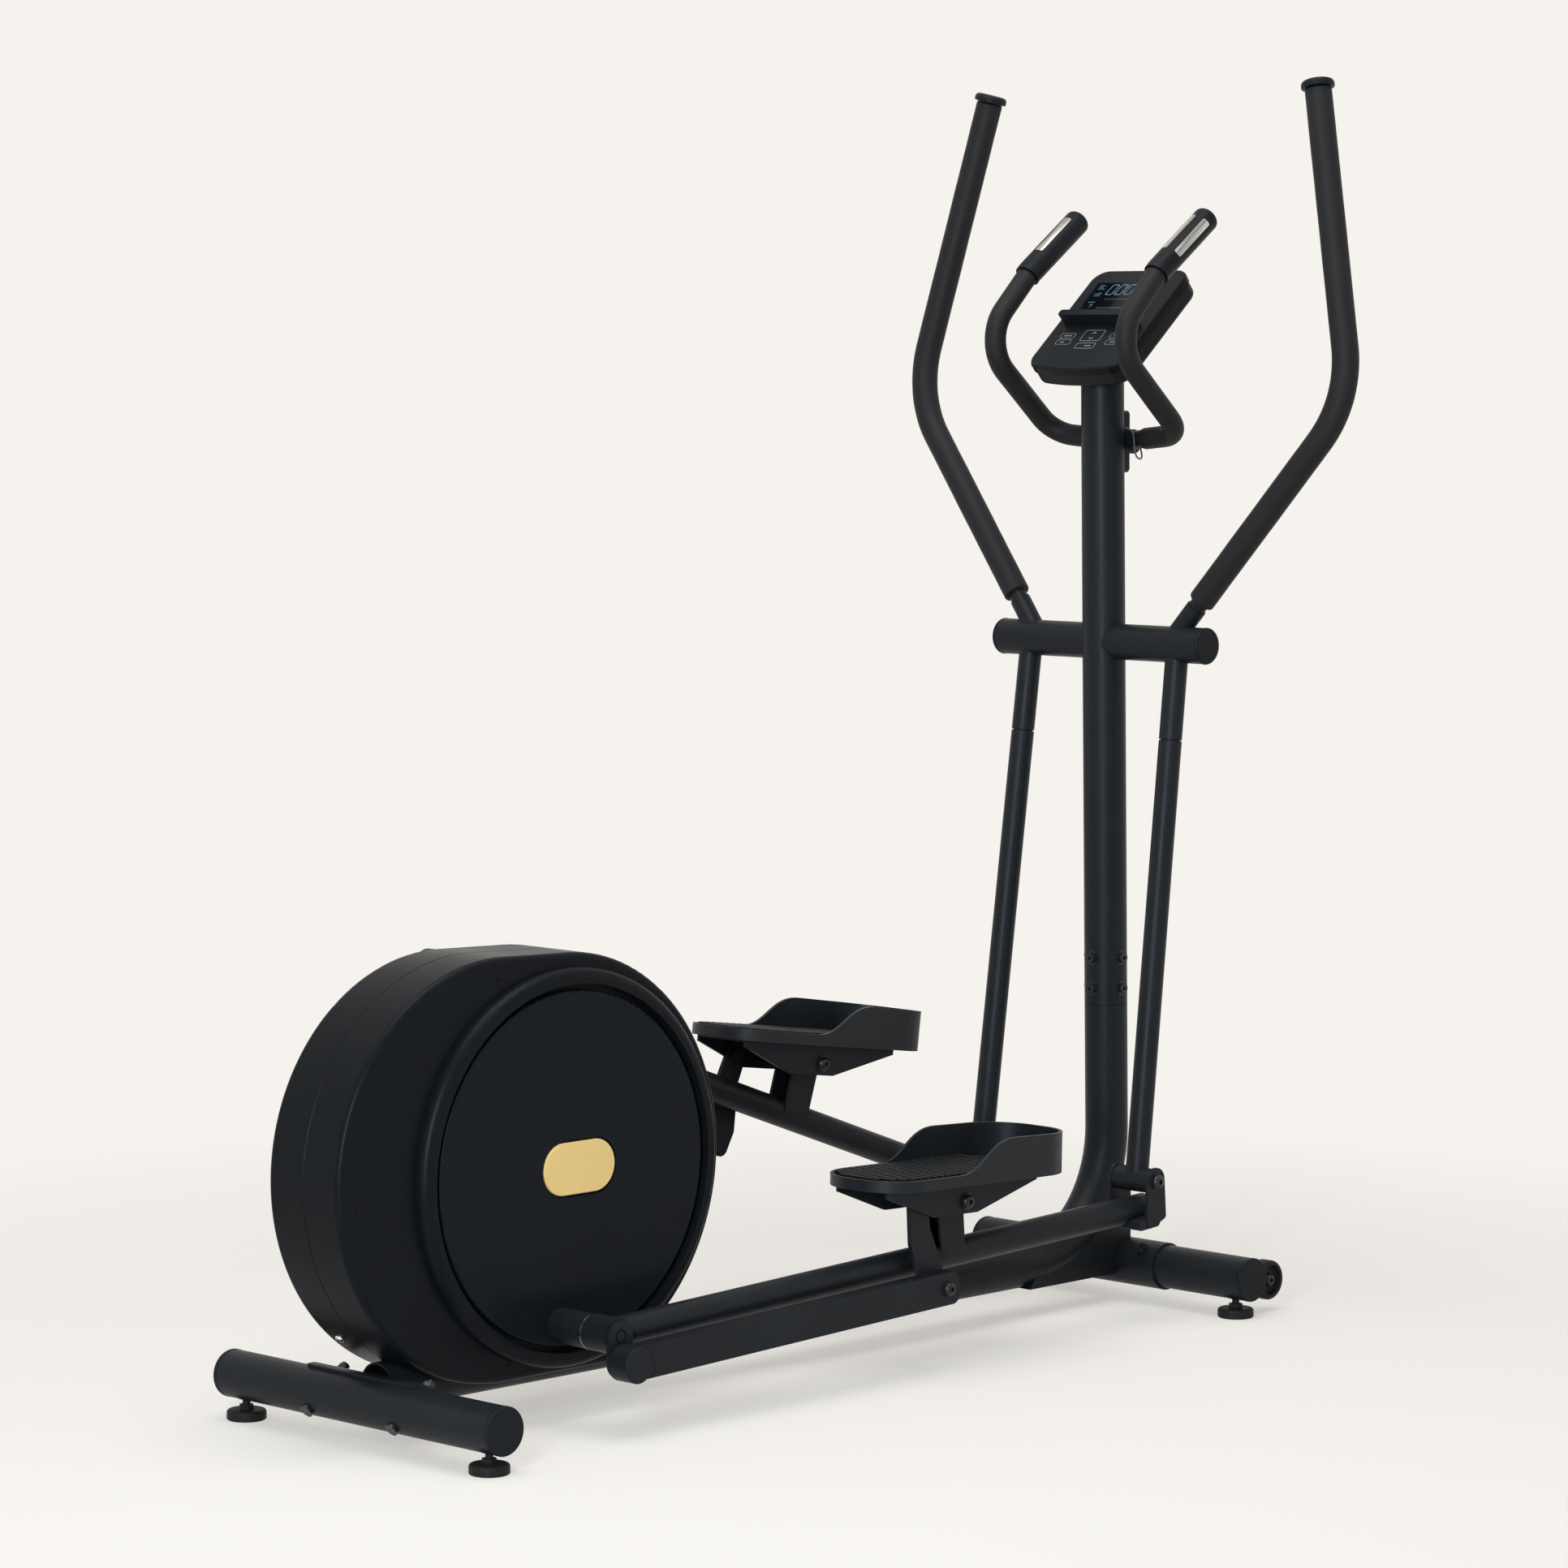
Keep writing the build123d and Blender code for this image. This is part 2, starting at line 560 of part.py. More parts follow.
# Drive bracket inside the housing: bearing tube on a post, and a fork for the flywheel
SHELL_LEFT = 18.0
SHELL_RIGHT = 50.0
BEARING_OUT_R = 23.0
FORK_RIGHT = 30.0
FORK_LEFT = 42.0
with BuildPart() as drive_bracket:
    with BuildSketch(Plane.XY.offset(BEAM_Z)):
        with Locations((CRANK_X, 0)):
            Rectangle(50, 36)
    extrude(amount=CRANK_Z - BEAM_Z)
    with BuildSketch(Plane.XY.offset(BEAM_Z)):
        with Locations((CRANK_X, 0)):
            Rectangle(44, 30)
    extrude(amount=CRANK_Z - BEAM_Z, mode=Mode.SUBTRACT)
    rod(CRANK_X, CRANK_Z, -SHELL_LEFT, SHELL_RIGHT, BEARING_OUT_R + 5)
    with BuildSketch(Plane.XY.offset(BEAM_Z + MAIN_R - 6)):
        with Locations((FLY_X + 24, (FORK_LEFT - FORK_RIGHT) / 2)):
            Rectangle(44, FORK_LEFT + FORK_RIGHT + 8)
    extrude(amount=12)
    fork_low = BEAM_Z + MAIN_R + 5
    fork_foot = [(FLY_X + 13, fork_low, 10), (FLY_X + 34, fork_low, 10)]
    hull_plate(fork_foot + [(FLY_X, FLY_Z + FLY_R + 12, 12)], FORK_RIGHT, FORK_RIGHT + 4)
    hull_plate(fork_foot + [(FLY_X, FLY_Z, 16)], -FORK_LEFT - 4, -FORK_LEFT)
    rod(CRANK_X, CRANK_Z, -SHELL_LEFT - 1, SHELL_RIGHT + 1, BEARING_OUT_R, mode=Mode.SUBTRACT)
    rod(FLY_X, FLY_Z, -FORK_LEFT - 5, FORK_RIGHT + 5, 6.1, mode=Mode.SUBTRACT)
    bar_from((REAR_X, 0, BEAM_Z), Vector(1, 0, 0), 600, MAIN_R, mode=Mode.SUBTRACT)
save(drive_bracket.part, "drive_bracket")

with BuildPart() as crank_bearings:
    for start, end in ((-SHELL_LEFT, -SHELL_LEFT + 14), (SHELL_RIGHT - 14, SHELL_RIGHT)):
        rod(CRANK_X, CRANK_Z, start, end, BEARING_OUT_R - 0.05)
        rod(CRANK_X, CRANK_Z, start - 1, end + 1, AXLE_R + RUN, mode=Mode.SUBTRACT)
save(crank_bearings.part, "crank_bearings")

with BuildPart() as flywheel_axle:
    rod(FLY_X, FLY_Z, -FORK_LEFT - 9, FORK_RIGHT + 9, 6.0)
    rod(FLY_X, FLY_Z, -FORK_LEFT - 10, -FORK_LEFT - 4, 10.0)
    rod(FLY_X, FLY_Z, FORK_RIGHT + 4, FORK_RIGHT + 10, 10.0)
save(flywheel_axle.part, "flywheel_axle")

# Flywheel with its small belt pulley
BELT_RIGHT = -25.0
BELT_LEFT = -35.0
with BuildPart() as flywheel:
    rod(FLY_X, FLY_Z, -14, 14, FLY_R)
    rod(FLY_X, FLY_Z, -16, -9, FLY_R - 22, mode=Mode.SUBTRACT)
    rod(FLY_X, FLY_Z, 9, 16, FLY_R - 22, mode=Mode.SUBTRACT)
    rod(FLY_X, FLY_Z, -FORK_LEFT + SEAT, FORK_RIGHT - SEAT, 16.0)
    rod(FLY_X, FLY_Z, BELT_LEFT - 2, BELT_RIGHT + 2, FLY_PULLEY_R)
    rod(FLY_X, FLY_Z, -FORK_LEFT, FORK_RIGHT, 6.0 + RUN, mode=Mode.SUBTRACT)
save(flywheel.part, "flywheel")

# Magnet brake: a curved shoe over the flywheel rim, fixed to the fork
with BuildPart() as magnet_brake:
    rod(FLY_X, FLY_Z, -16, FORK_RIGHT, FLY_R + 10)
    rod(FLY_X, FLY_Z, -17, FORK_RIGHT + 1, FLY_R + 2, mode=Mode.SUBTRACT)
    wide = (FLY_R + 60) * tan(radians(35))
    keep = [(FLY_X, FLY_Z), (FLY_X + wide, FLY_Z + FLY_R + 60), (FLY_X - wide, FLY_Z + FLY_R + 60)]
    poly_plate(keep, -17, FORK_RIGHT, mode=Mode.INTERSECT)
save(magnet_brake.part, "magnet_brake")

# Belt between the crank pulley and the flywheel pulley
with BuildPart() as drive_belt:
    wrap = [
        (CRANK_X, CRANK_Z, PULLEY_R + SEAT + BELT_THICK),
        (FLY_X, FLY_Z, FLY_PULLEY_R + SEAT + BELT_THICK),
    ]
    hull_plate(wrap, BELT_LEFT, BELT_RIGHT)
    wrap = [(CRANK_X, CRANK_Z, PULLEY_R + SEAT), (FLY_X, FLY_Z, FLY_PULLEY_R + SEAT)]
    hull_plate(wrap, BELT_LEFT - 1, BELT_RIGHT + 1, mode=Mode.SUBTRACT)
save(drive_belt.part, "drive_belt")

# Crank axle with its pulley, discs, bosses and badges
DISC_BACK = 72.0
with BuildPart() as crank_axle:
    rod(CRANK_X, CRANK_Z, -DISC_BACK + 2, DISC_BACK - 2, AXLE_R)
save(crank_axle.part, "crank_axle")

with BuildPart() as crank_pulley:
    rod(CRANK_X, CRANK_Z, BELT_LEFT - 2, BELT_RIGHT + 2, PULLEY_R)
    rod(CRANK_X, CRANK_Z, BELT_LEFT - 3, BELT_LEFT + 3, PULLEY_R - 12, mode=Mode.SUBTRACT)
    rod(CRANK_X, CRANK_Z, BELT_LEFT - 8, BELT_RIGHT + 2, 24.0)
    with BuildSketch(Plane.XZ.offset(BELT_LEFT - 10)):
        with Locations((CRANK_X, CRANK_Z)):
            with PolarLocations(72, 6):
                Circle(24)
    extrude(amount=20, mode=Mode.SUBTRACT)
    rod(CRANK_X, CRANK_Z, BELT_LEFT - 9, BELT_RIGHT + 3, AXLE_R + 0.05, mode=Mode.SUBTRACT)
save(crank_pulley.part, "crank_pulley")

with BuildPart() as right_disc:
    rod(CRANK_X, CRANK_Z, DISC_BACK, DISC_OUT, DISC_R)
    circles = right_disc.edges().filter_by(GeomType.CIRCLE)
    outer_rim = [e for e in circles if abs(e.center().Y + DISC_OUT) < 0.01]
    fillet(outer_rim, radius=3.0)
    rod(CRANK_X, CRANK_Z, DISC_BACK - 4.5, DISC_BACK + 1, DISC_R - 3)
    rod(CRANK_X, CRANK_Z, DISC_BACK - 8, DISC_BACK, DISC_R - 7, mode=Mode.SUBTRACT)
    rod(CRANK_X, CRANK_Z, DISC_BACK - 10, DISC_BACK + 1, 30.0)
    rod(CRANK_X, CRANK_Z, DISC_BACK - 11, DISC_BACK - 1, AXLE_R + 0.05, mode=Mode.SUBTRACT)
    with BuildSketch(Plane.XZ.offset(DISC_OUT - 4)):
        with Locations((CRANK_X + BADGE_AHEAD, CRANK_Z)):
            SlotOverall(BADGE_LONG + 6, BADGE_HIGH + 6)
    extrude(amount=6, mode=Mode.SUBTRACT)
save(right_disc.part, "right_crank_disc")
with BuildPart() as left_disc:
    mirror(right_disc.part, about=Plane.XZ)
save(left_disc.part, "left_crank_disc")

with BuildPart() as disc_badge:
    with BuildSketch(Plane.XZ.offset(DISC_OUT - 4)):
        with Locations((CRANK_X + BADGE_AHEAD, CRANK_Z)):
            SlotOverall(BADGE_LONG, BADGE_HIGH)
    extrude(amount=4.6)
    face_edges = [e for e in disc_badge.edges() if abs(e.center().Y + DISC_OUT + 0.6) < 0.01]
    fillet(face_edges, radius=1.5)
badges = both_sides(disc_badge.part)
save(badges, "disc_badges")

with BuildPart() as crank_bosses:
    for side, flip in (("right", 1), ("left", -1)):
        rod(PIN[side][0], PIN[side][1], flip * DISC_OUT, flip * BOSS_OUT, BOSS_R)
save(crank_bosses.part, "crank_bosses")


# Swing bar: the sleeve on the handle axle, the bent upper tube and the socket for the lower arm
grip_low = (0, -ARM_TOP_Y + 14.4, 0)
grip_bend = (0, -GRIP_BEND_Y, GRIP_BEND_UP)
grip_top = (-GRIP_SET_BACK, -GRIP_TOP_Y, GRIP_TOP_UP)
ARM_DIR = Vector(0, -(HINGE_Y - ARM_TOP_Y), -HANDLE_REACH).normalized()


def along(a, b, distance):
    step = Vector(b) - Vector(a)
    return Vector(a) + step * (distance / step.length)


grip_core = tube([grip_low, grip_bend, grip_top], GRIP_CORE_R, GRIP_CORE_R - 2.2, GRIP_BEND_R)
grip_solid = tube([grip_low, grip_bend, grip_top], GRIP_CORE_R, 0, GRIP_BEND_R)
foam_low = along(grip_low, grip_bend, 78)
foam_top = along(grip_top, grip_bend, 3)
grip_foam = tube([foam_low, grip_bend, foam_top], GRIP_R, GRIP_CORE_R + 0.05, GRIP_BEND_R)
arm_head = Vector(0, -ARM_TOP_Y, 0)
SLEEVE_START = CROSS_HALF + SEAT

with BuildPart() as swing_bar:
    add(grip_core)
    rod(0, 0, SLEEVE_START, SLEEVE_END, CROSS_R)
    bar_from(along(grip_low, grip_bend, 5), Vector(grip_bend) - Vector(grip_low), 62, GRIP_CORE_R + 2.0)
    bar_from(arm_head, ARM_DIR, SOCKET_DOWN, ARM_R)
    bar_from(arm_head + ARM_DIR * 40, ARM_DIR, SOCKET_DOWN, ARM_R - 2.3, mode=Mode.SUBTRACT)
    rod(0, 0, SLEEVE_START + 16, SLEEVE_END - 16, PLUG_R - 3, mode=Mode.SUBTRACT)
    rod(0, 0, SLEEVE_START - 1, SLEEVE_END + 1, AXLE_R + RUN, mode=Mode.SUBTRACT)
for side in ("right", "left"):
    save(placed(swing_bar.part, (CROSS_X, CROSS_Z), REST_SWING, side), f"{side}_swing_bar")
    save(placed(grip_foam, (CROSS_X, CROSS_Z), REST_SWING, side), f"{side}_handle_foam")

# Plastic caps: the domed end of the grip and the end of the sleeve
TOP_DIR = (Vector(grip_top) - Vector(grip_bend)).normalized()
with BuildPart() as handle_caps:
    bar_from(Vector(grip_top) - TOP_DIR * 2.7, TOP_DIR, 11.0, CAP_R)
    cap_rims = handle_caps.edges().filter_by(lambda e: e.is_closed).sort_by(Axis.Z)
    fillet(cap_rims[0], radius=2.0)
    cap_rims = handle_caps.edges().filter_by(lambda e: e.is_closed).sort_by(Axis.Z)
    fillet(cap_rims[-1], radius=6.0)
    add(grip_solid, mode=Mode.SUBTRACT)
    rod(0, 0, SLEEVE_END, SLEEVE_END + 5, CROSS_R + 0.5)
    circles = handle_caps.edges().filter_by(GeomType.CIRCLE)
    outer = [e for e in circles if abs(e.center().Y + SLEEVE_END + 5) < 0.01]
    fillet(outer, radius=4.0)
for side in ("right", "left"):
    save(placed(handle_caps.part, (CROSS_X, CROSS_Z), REST_SWING, side), f"{side}_handle_caps")

# Lower arm: tube with a neck in the socket and the hinge sleeve at its foot
SLEEVE_HALF = 31.0
ARM_SLEEVE_R = 17.0
HINGE_PIN_R = 8.0
with BuildPart() as lower_arm:
    hinge = Vector(0, -HINGE_Y, -HANDLE_REACH)
    reach = HANDLE_REACH - SOCKET_DOWN
    start = arm_head + ARM_DIR * (SOCKET_DOWN + 0.8)
    bar_from(start, ARM_DIR, (hinge - start).length, ARM_R)
    fillet(lower_arm.edges().filter_by(GeomType.CIRCLE).sort_by(Axis.Z)[-1], radius=2.5)
    bar_from(arm_head + ARM_DIR * 48, ARM_DIR, SOCKET_DOWN, ARM_R - 2.5)
    bar_from(arm_head + ARM_DIR * 40, ARM_DIR, HANDLE_REACH - 60, ARM_R - 4.5, mode=Mode.SUBTRACT)
    rod(0, -HANDLE_REACH, HINGE_Y - SLEEVE_HALF, HINGE_Y + SLEEVE_HALF, ARM_SLEEVE_R)
    bore_in = HINGE_Y - SLEEVE_HALF - 1
    bore_out = HINGE_Y + SLEEVE_HALF + 1
    rod(0, -HANDLE_REACH, bore_in, bore_out, HINGE_PIN_R + RUN, mode=Mode.SUBTRACT)
for side in ("right", "left"):
    save(placed(lower_arm.part, (CROSS_X, CROSS_Z), REST_SWING, side), f"{side}_lower_arm")

# Pedal tube: crank eye at the back, pedal post, clevis at the front; drawn about the front hinge
tube_back = (-ARM_LONG, -PIN_Y, 0)
tube_front = (0, -HINGE_Y, -TUBE_DROP)
tube_dir = (Vector(tube_front) - Vector(tube_back)).normalized()
POST_LONG = 46.0
POST_WIDE = 36.0
PEDAL_PIN_R = 6.0
CLEVIS_IN = SLEEVE_HALF + SEAT
CLEVIS_OUT = CLEVIS_IN + 5.0
with BuildPart() as pedal_tube:
    bar_from(tube_back, tube_dir, ARM_LONG + 12, TUBE_R)
    bore_start = Vector(tube_back) + tube_dir * 30
    bar_from(bore_start, tube_dir, ARM_LONG - 90, TUBE_R - TUBE_WALL, mode=Mode.SUBTRACT)
    rod(-ARM_LONG, 0, EYE_IN, EYE_OUT, EYE_R)
    rod(-ARM_LONG, 0, BOSS_OUT + 0.7, EYE_IN + 0.5, BOSS_R)
    with BuildSketch(Plane.XY.offset(-TUBE_DROP + 18)):
        with Locations((-PEDAL_BACK, -PEDAL_Y)):
            Rectangle(POST_LONG, POST_WIDE)
    extrude(amount=TUBE_DROP - 18 + PEDAL_UP)
    rod(-PEDAL_BACK, PEDAL_UP, PEDAL_Y - POST_WIDE / 2, PEDAL_Y + POST_WIDE / 2, 15.0)
    with BuildSketch(Plane.XY.offset(PEDAL_UP - 62)):
        with Locations((-PEDAL_BACK - 10, -PEDAL_Y)):
            Rectangle(POST_LONG, POST_WIDE - 8)
    extrude(amount=100, mode=Mode.SUBTRACT)
    rod(-PEDAL_BACK, PEDAL_UP, PEDAL_Y - 30, PEDAL_Y + 30, PEDAL_PIN_R + 0.05, mode=Mode.SUBTRACT)
    for start, end in ((-CLEVIS_OUT, -CLEVIS_IN), (CLEVIS_IN, CLEVIS_OUT)):
        hull_plate(
            [(0, 2, 17), (11, -TUBE_DROP - 8, 6), (-15, -TUBE_DROP - 14, 8)],
            HINGE_Y + start,
            HINGE_Y + end,
        )
    hull_plate(
        [(-34, -TUBE_DROP - 12, 4), (-34, -TUBE_DROP - 18, 4), (-2, -TUBE_DROP - 14, 8)],
        HINGE_Y - CLEVIS_OUT + 1,
        HINGE_Y + CLEVIS_OUT - 1,
    )
    rod(0, 0, HINGE_Y - CLEVIS_OUT - 1, HINGE_Y + CLEVIS_OUT + 1, HINGE_PIN_R + 0.05, mode=Mode.SUBTRACT)
for side in ("right", "left"):
    save(placed(pedal_tube.part, (HINGE_X, HINGE_Z), ARM_TURN[side], side), f"{side}_pedal_tube")

# Pins carried by the pedal tube: front hinge pin and pedal pin with its spacers
with BuildPart() as arm_pins:
    rod(0, 0, HINGE_Y - CLEVIS_OUT - 4, HINGE_Y + CLEVIS_OUT + 3, HINGE_PIN_R)
    rod(0, 0, HINGE_Y + CLEVIS_OUT, HINGE_Y + CLEVIS_OUT + 2, 11.0)
    rod(0, 0, HINGE_Y + CLEVIS_OUT + 1.5, HINGE_Y + CLEVIS_OUT + 3.2, 9.0)
    rod(0, 0, HINGE_Y - CLEVIS_OUT - 7, HINGE_Y - CLEVIS_OUT, 11.0)
    rod(-PEDAL_BACK, PEDAL_UP, PEDAL_Y - BRACKET_HALF - 8, PEDAL_Y + BRACKET_HALF + 8, PEDAL_PIN_R)
    for flip in (1, -1):
        spacer = PEDAL_Y + flip * POST_WIDE / 2
        rod(-PEDAL_BACK, PEDAL_UP, spacer, PEDAL_Y + flip * (BRACKET_HALF - SEAT), 11.0)
        washer = PEDAL_Y + flip * (BRACKET_HALF + BRACKET_THICK + SEAT)
        rod(-PEDAL_BACK, PEDAL_UP, washer, washer + flip * 2.0, 11.5)
        rod(-PEDAL_BACK, PEDAL_UP, washer + flip * 1.5, washer + flip * 3.2, 8.5)
for side in ("right", "left"):
    save(placed(arm_pins.part, (HINGE_X, HINGE_Z), ARM_TURN[side], side), f"{side}_arm_pins")

# Return crank: web on the outside of the crank eye with its bolt
for side, flip in (("right", 1), ("left", -1)):
    with BuildPart() as return_crank:
        ends = [(PIN[side][0], PIN[side][1], 20.0), (RETURN_PIN[side][0], RETURN_PIN[side][1], 20.0)]
        hull_plate(ends, flip * EYE_OUT, flip * WEB_OUT)
        rod(PIN[side][0], PIN[side][1], flip * (WEB_OUT - 3.5), flip * (WEB_OUT + 1), 9.0, mode=Mode.SUBTRACT)
        rod(PIN[side][0], PIN[side][1], flip * (WEB_OUT - 4), flip * (WEB_OUT - 0.2), 7.0)
    save(return_crank.part, f"{side}_return_crank")


# Pedal: tray with a raised wall round the toe; drawn about the pedal pin
def tray_outline(inset):
    back = PEDAL_AHEAD - PEDAL_LONG + inset
    front = PEDAL_AHEAD - inset
    half = PEDAL_WIDE / 2 - inset
    heel = 66.0 - inset
    toe = 62.0 - inset
    corners = [
        (front, -PEDAL_Y - half),
        (front, -PEDAL_Y + half),
        (back, -PEDAL_Y + half),
        (back, -PEDAL_Y - half),
    ]
    with BuildLine() as outline:
        FilletPolyline(*corners, radius=[toe, toe, heel, heel], close=True)
    make_face(outline.edges())


RISE_START = -42.0
RISE_END = 62.0
with BuildPart() as pedal:
    with BuildSketch(Plane.XY.offset(TRAY_UP)):
        tray_outline(0)
    extrude(amount=TOE_WALL)
    with BuildSketch(Plane.XY.offset(TRAY_UP + TRAY_RIM - 4)):
        tray_outline(4.5)
    extrude(amount=TOE_WALL, mode=Mode.SUBTRACT)
    rim_z = TRAY_UP + TRAY_RIM
    top_z = TRAY_UP + TOE_WALL
    with BuildSketch(Plane.XZ.offset(PEDAL_Y - PEDAL_WIDE)):
        with BuildLine():
            Line((-PEDAL_LONG, rim_z), (RISE_START, rim_z))
            Bezier((RISE_START, rim_z), (RISE_START + 46, rim_z), (RISE_END - 52, top_z), (RISE_END, top_z))
            Polyline(
                (RISE_END, top_z),
                (PEDAL_LONG, top_z - 6),
                (PEDAL_LONG, top_z + 60),
                (-PEDAL_LONG, top_z + 60),
                (-PEDAL_LONG, rim_z),
            )
        make_face()
    extrude(amount=2 * PEDAL_WIDE, mode=Mode.SUBTRACT)
    with BuildSketch(Plane.XY.offset(TRAY_UP)):
        tray_outline(6)
        with Locations((PEDAL_AHEAD - PEDAL_LONG / 2, -PEDAL_Y)):
            Rectangle(320, 2 * BRACKET_HALF + 16, mode=Mode.SUBTRACT)
    extrude(amount=TRAY_RIM - 8, mode=Mode.SUBTRACT)
for side in ("right", "left"):
    save(placed(pedal.part, PEDAL_PIN[side], PEDAL_TURN[side], side), f"{side}_pedal")

# Pedal bracket: folded channel under the tray with tapered sides and the rear link pin
LINK_PIN_R = 6.0
LEVER_IN = PEDAL_Y + 34.0
LEVER_OUT = PEDAL_Y + 40.0
with BuildPart() as pedal_bracket:
    web_low = TRAY_UP - 3
    for start in (BRACKET_HALF, -BRACKET_HALF - BRACKET_THICK):
        end = start + BRACKET_THICK
        side_shape = [
            (-152, TRAY_UP),
            (138, TRAY_UP),
            (138, TRAY_UP - 8),
            (22, -16),
            (-62, -16),
            (-152, TRAY_UP - 9),
        ]
        poly_plate(side_shape, PEDAL_Y + start, PEDAL_Y + end)
    poly_plate(
        [(-152, TRAY_UP), (138, TRAY_UP), (138, web_low), (-152, web_low)],
        PEDAL_Y - BRACKET_HALF - 1,
        PEDAL_Y + BRACKET_HALF + 1,
    )
    rod(0, 0, PEDAL_Y - BRACKET_HALF - 9, PEDAL_Y + BRACKET_HALF + 9, PEDAL_PIN_R + RUN, mode=Mode.SUBTRACT)
    rod(-LINK_BACK, 0, LEVER_IN - 5, PEDAL_Y + BRACKET_HALF + 1, LINK_PIN_R)
    rod(-LINK_BACK, 0, LEVER_IN - 5, LEVER_IN - SEAT, LINK_PIN_R + 4)
for side in ("right", "left"):
    save(placed(pedal_bracket.part, PEDAL_PIN[side], PEDAL_TURN[side], side), f"{side}_pedal_bracket")

# Control link: long bar with a barrel at the crank end and a lever up to the pedal; drawn about the pedal end
BAR_IN = LEVER_OUT - 0.5
BAR_OUT = LEVER_OUT + 22.0
with BuildPart() as control_link:
    bar_half = BAR_HIGH / 2
    poly_plate(
        [
            (-LINK_LONG, -LINK_DROP + bar_half),
            (LEVER_LEAN + 21, -LINK_DROP + bar_half),
            (LEVER_LEAN + 21, -LINK_DROP - bar_half),
            (-LINK_LONG, -LINK_DROP - bar_half),
        ],
        BAR_IN,
        BAR_OUT,
        corner=12,
    )
    poly_plate(
        [
            (-LINK_LONG + 34, -LINK_DROP + bar_half - 2.2),
            (LEVER_LEAN - 22, -LINK_DROP + bar_half - 2.2),
            (LEVER_LEAN - 22, -LINK_DROP - bar_half + 2.2),
            (-LINK_LONG + 34, -LINK_DROP - bar_half + 2.2),
        ],
        BAR_IN + 2.2,
        BAR_OUT - 2.2,
        mode=Mode.SUBTRACT,
    )
    rod(-LINK_LONG, -LINK_DROP, WEB_OUT + 0.5, BARREL_OUT, BOSS_R)
    circles = control_link.edges().filter_by(GeomType.CIRCLE)
    barrel_rim = [e for e in circles if abs(e.center().Y + BARREL_OUT) < 0.01]
    fillet(barrel_rim, radius=2.0)
    lever = [
        (-17, 15),
        (17, 15),
        (21, -32),
        (LEVER_LEAN + 16, -LINK_DROP + bar_half - 4),
        (LEVER_LEAN + 16, -LINK_DROP - bar_half + 4),
        (LEVER_LEAN - 22, -LINK_DROP - bar_half + 4),
        (-16, -48),
    ]
    poly_plate(lever, LEVER_IN, LEVER_OUT, corner=6)
    rod(0, 0, LEVER_IN - 1, LEVER_OUT + 1, LINK_PIN_R + RUN, mode=Mode.SUBTRACT)
    rod(LEVER_LEAN, -LINK_DROP, BAR_OUT - 1, BAR_OUT + 2, 11.0)
    rod(LEVER_LEAN, -LINK_DROP, BAR_OUT + 1, BAR_OUT + 3.2, 8.0)
for side in ("right", "left"):
    save(placed(control_link.part, LINK_PIN[side], LINK_TURN[side], side), f"{side}_control_link")

# Fixed handlebar: one bent tube clamped to the front of the mast
BAR_MID_Z = MAST_TOP - 82.5
BAR_MID_X = mast_x(BAR_MID_Z) + MAIN_R + BAR_R + 0.8
BAR_X = mast_x(BAR_MID_Z)
tip = (BAR_X + 80.0, -118, BAR_MID_Z + 308.5)
knee = (BAR_X - 22.5, -118, BAR_MID_Z + 234.5)
elbow = (BAR_X - 118.0, -120, BAR_MID_Z + 138)
wrist = (BAR_MID_X - 15.3, -117, BAR_MID_Z + 11)
centre = (BAR_MID_X, 0, BAR_MID_Z)


def flip_y(p):
    return (p[0], -p[1], p[2])


bar_points = [tip, knee, elbow, wrist, centre, flip_y(wrist), flip_y(elbow), flip_y(knee), flip_y(tip)]
BAR_BENDS = [40, 58, 38, 60, 38, 58, 40]
COLLAR = 6.0
handlebar = tube(bar_points, BAR_R, BAR_R - 2, BAR_BENDS)
save(handlebar, "handlebar")

foam_in = along(centre, wrist, 46)
foam_out = along(knee, elbow, COLLAR + 0.4)
bar_foam = tube([foam_out, elbow, wrist, foam_in], BAR_FOAM_R, BAR_R + 0.05, BAR_BENDS[1:3])
save(both_sides(bar_foam), "handlebar_foam")

# Pulse grips: a moulded sleeve on each end of the handlebar, with two steel plates let into it
GRIP_DIR = (Vector(tip) - Vector(knee)).normalized()
GRIP_ACROSS = Vector(-GRIP_DIR.Z, 0, GRIP_DIR.X)
PLATE_LONG = 78.0
PLATE_WIDE = 12.0
PLATE_TURNS = (23.5, 101.5)
grip_low_end = along(knee, elbow, COLLAR)
grip_high_end = Vector(tip) + GRIP_DIR * 3
grip_bore = tube([along(knee, elbow, COLLAR + 8), knee, tip], BAR_R + 0.05, 0, BAR_BENDS[0])
grip_shell = tube([grip_low_end, knee, grip_high_end], PULSE_R, 0, BAR_BENDS[0])
with BuildPart() as pulse_grip:
    add(grip_shell)
    fillet(pulse_grip.edges().filter_by(lambda e: e.is_closed).sort_by(Axis.X)[-1], radius=7.0)
    add(grip_bore, mode=Mode.SUBTRACT)
plate_low = Vector(tip) - GRIP_DIR * (PLATE_LONG + 18)
with BuildPart() as plate_blank:
    bar_from(plate_low - GRIP_DIR * 2, GRIP_DIR, PLATE_LONG + 4, PULSE_R + 0.5)
    bar_from(plate_low - GRIP_DIR * 3, GRIP_DIR, PLATE_LONG + 6, PULSE_R - 1.5, mode=Mode.SUBTRACT)
with BuildPart() as plate_window:
    for turn in PLATE_TURNS:
        out = Vector(0, -cos(radians(turn)), 0) + GRIP_ACROSS * sin(radians(turn))
        with BuildSketch(Plane(origin=plate_low + GRIP_DIR * (PLATE_LONG / 2), x_dir=GRIP_DIR, z_dir=out)):
            RectangleRounded(PLATE_LONG, PLATE_WIDE, 3.0)
        extrude(amount=PULSE_R + 5)
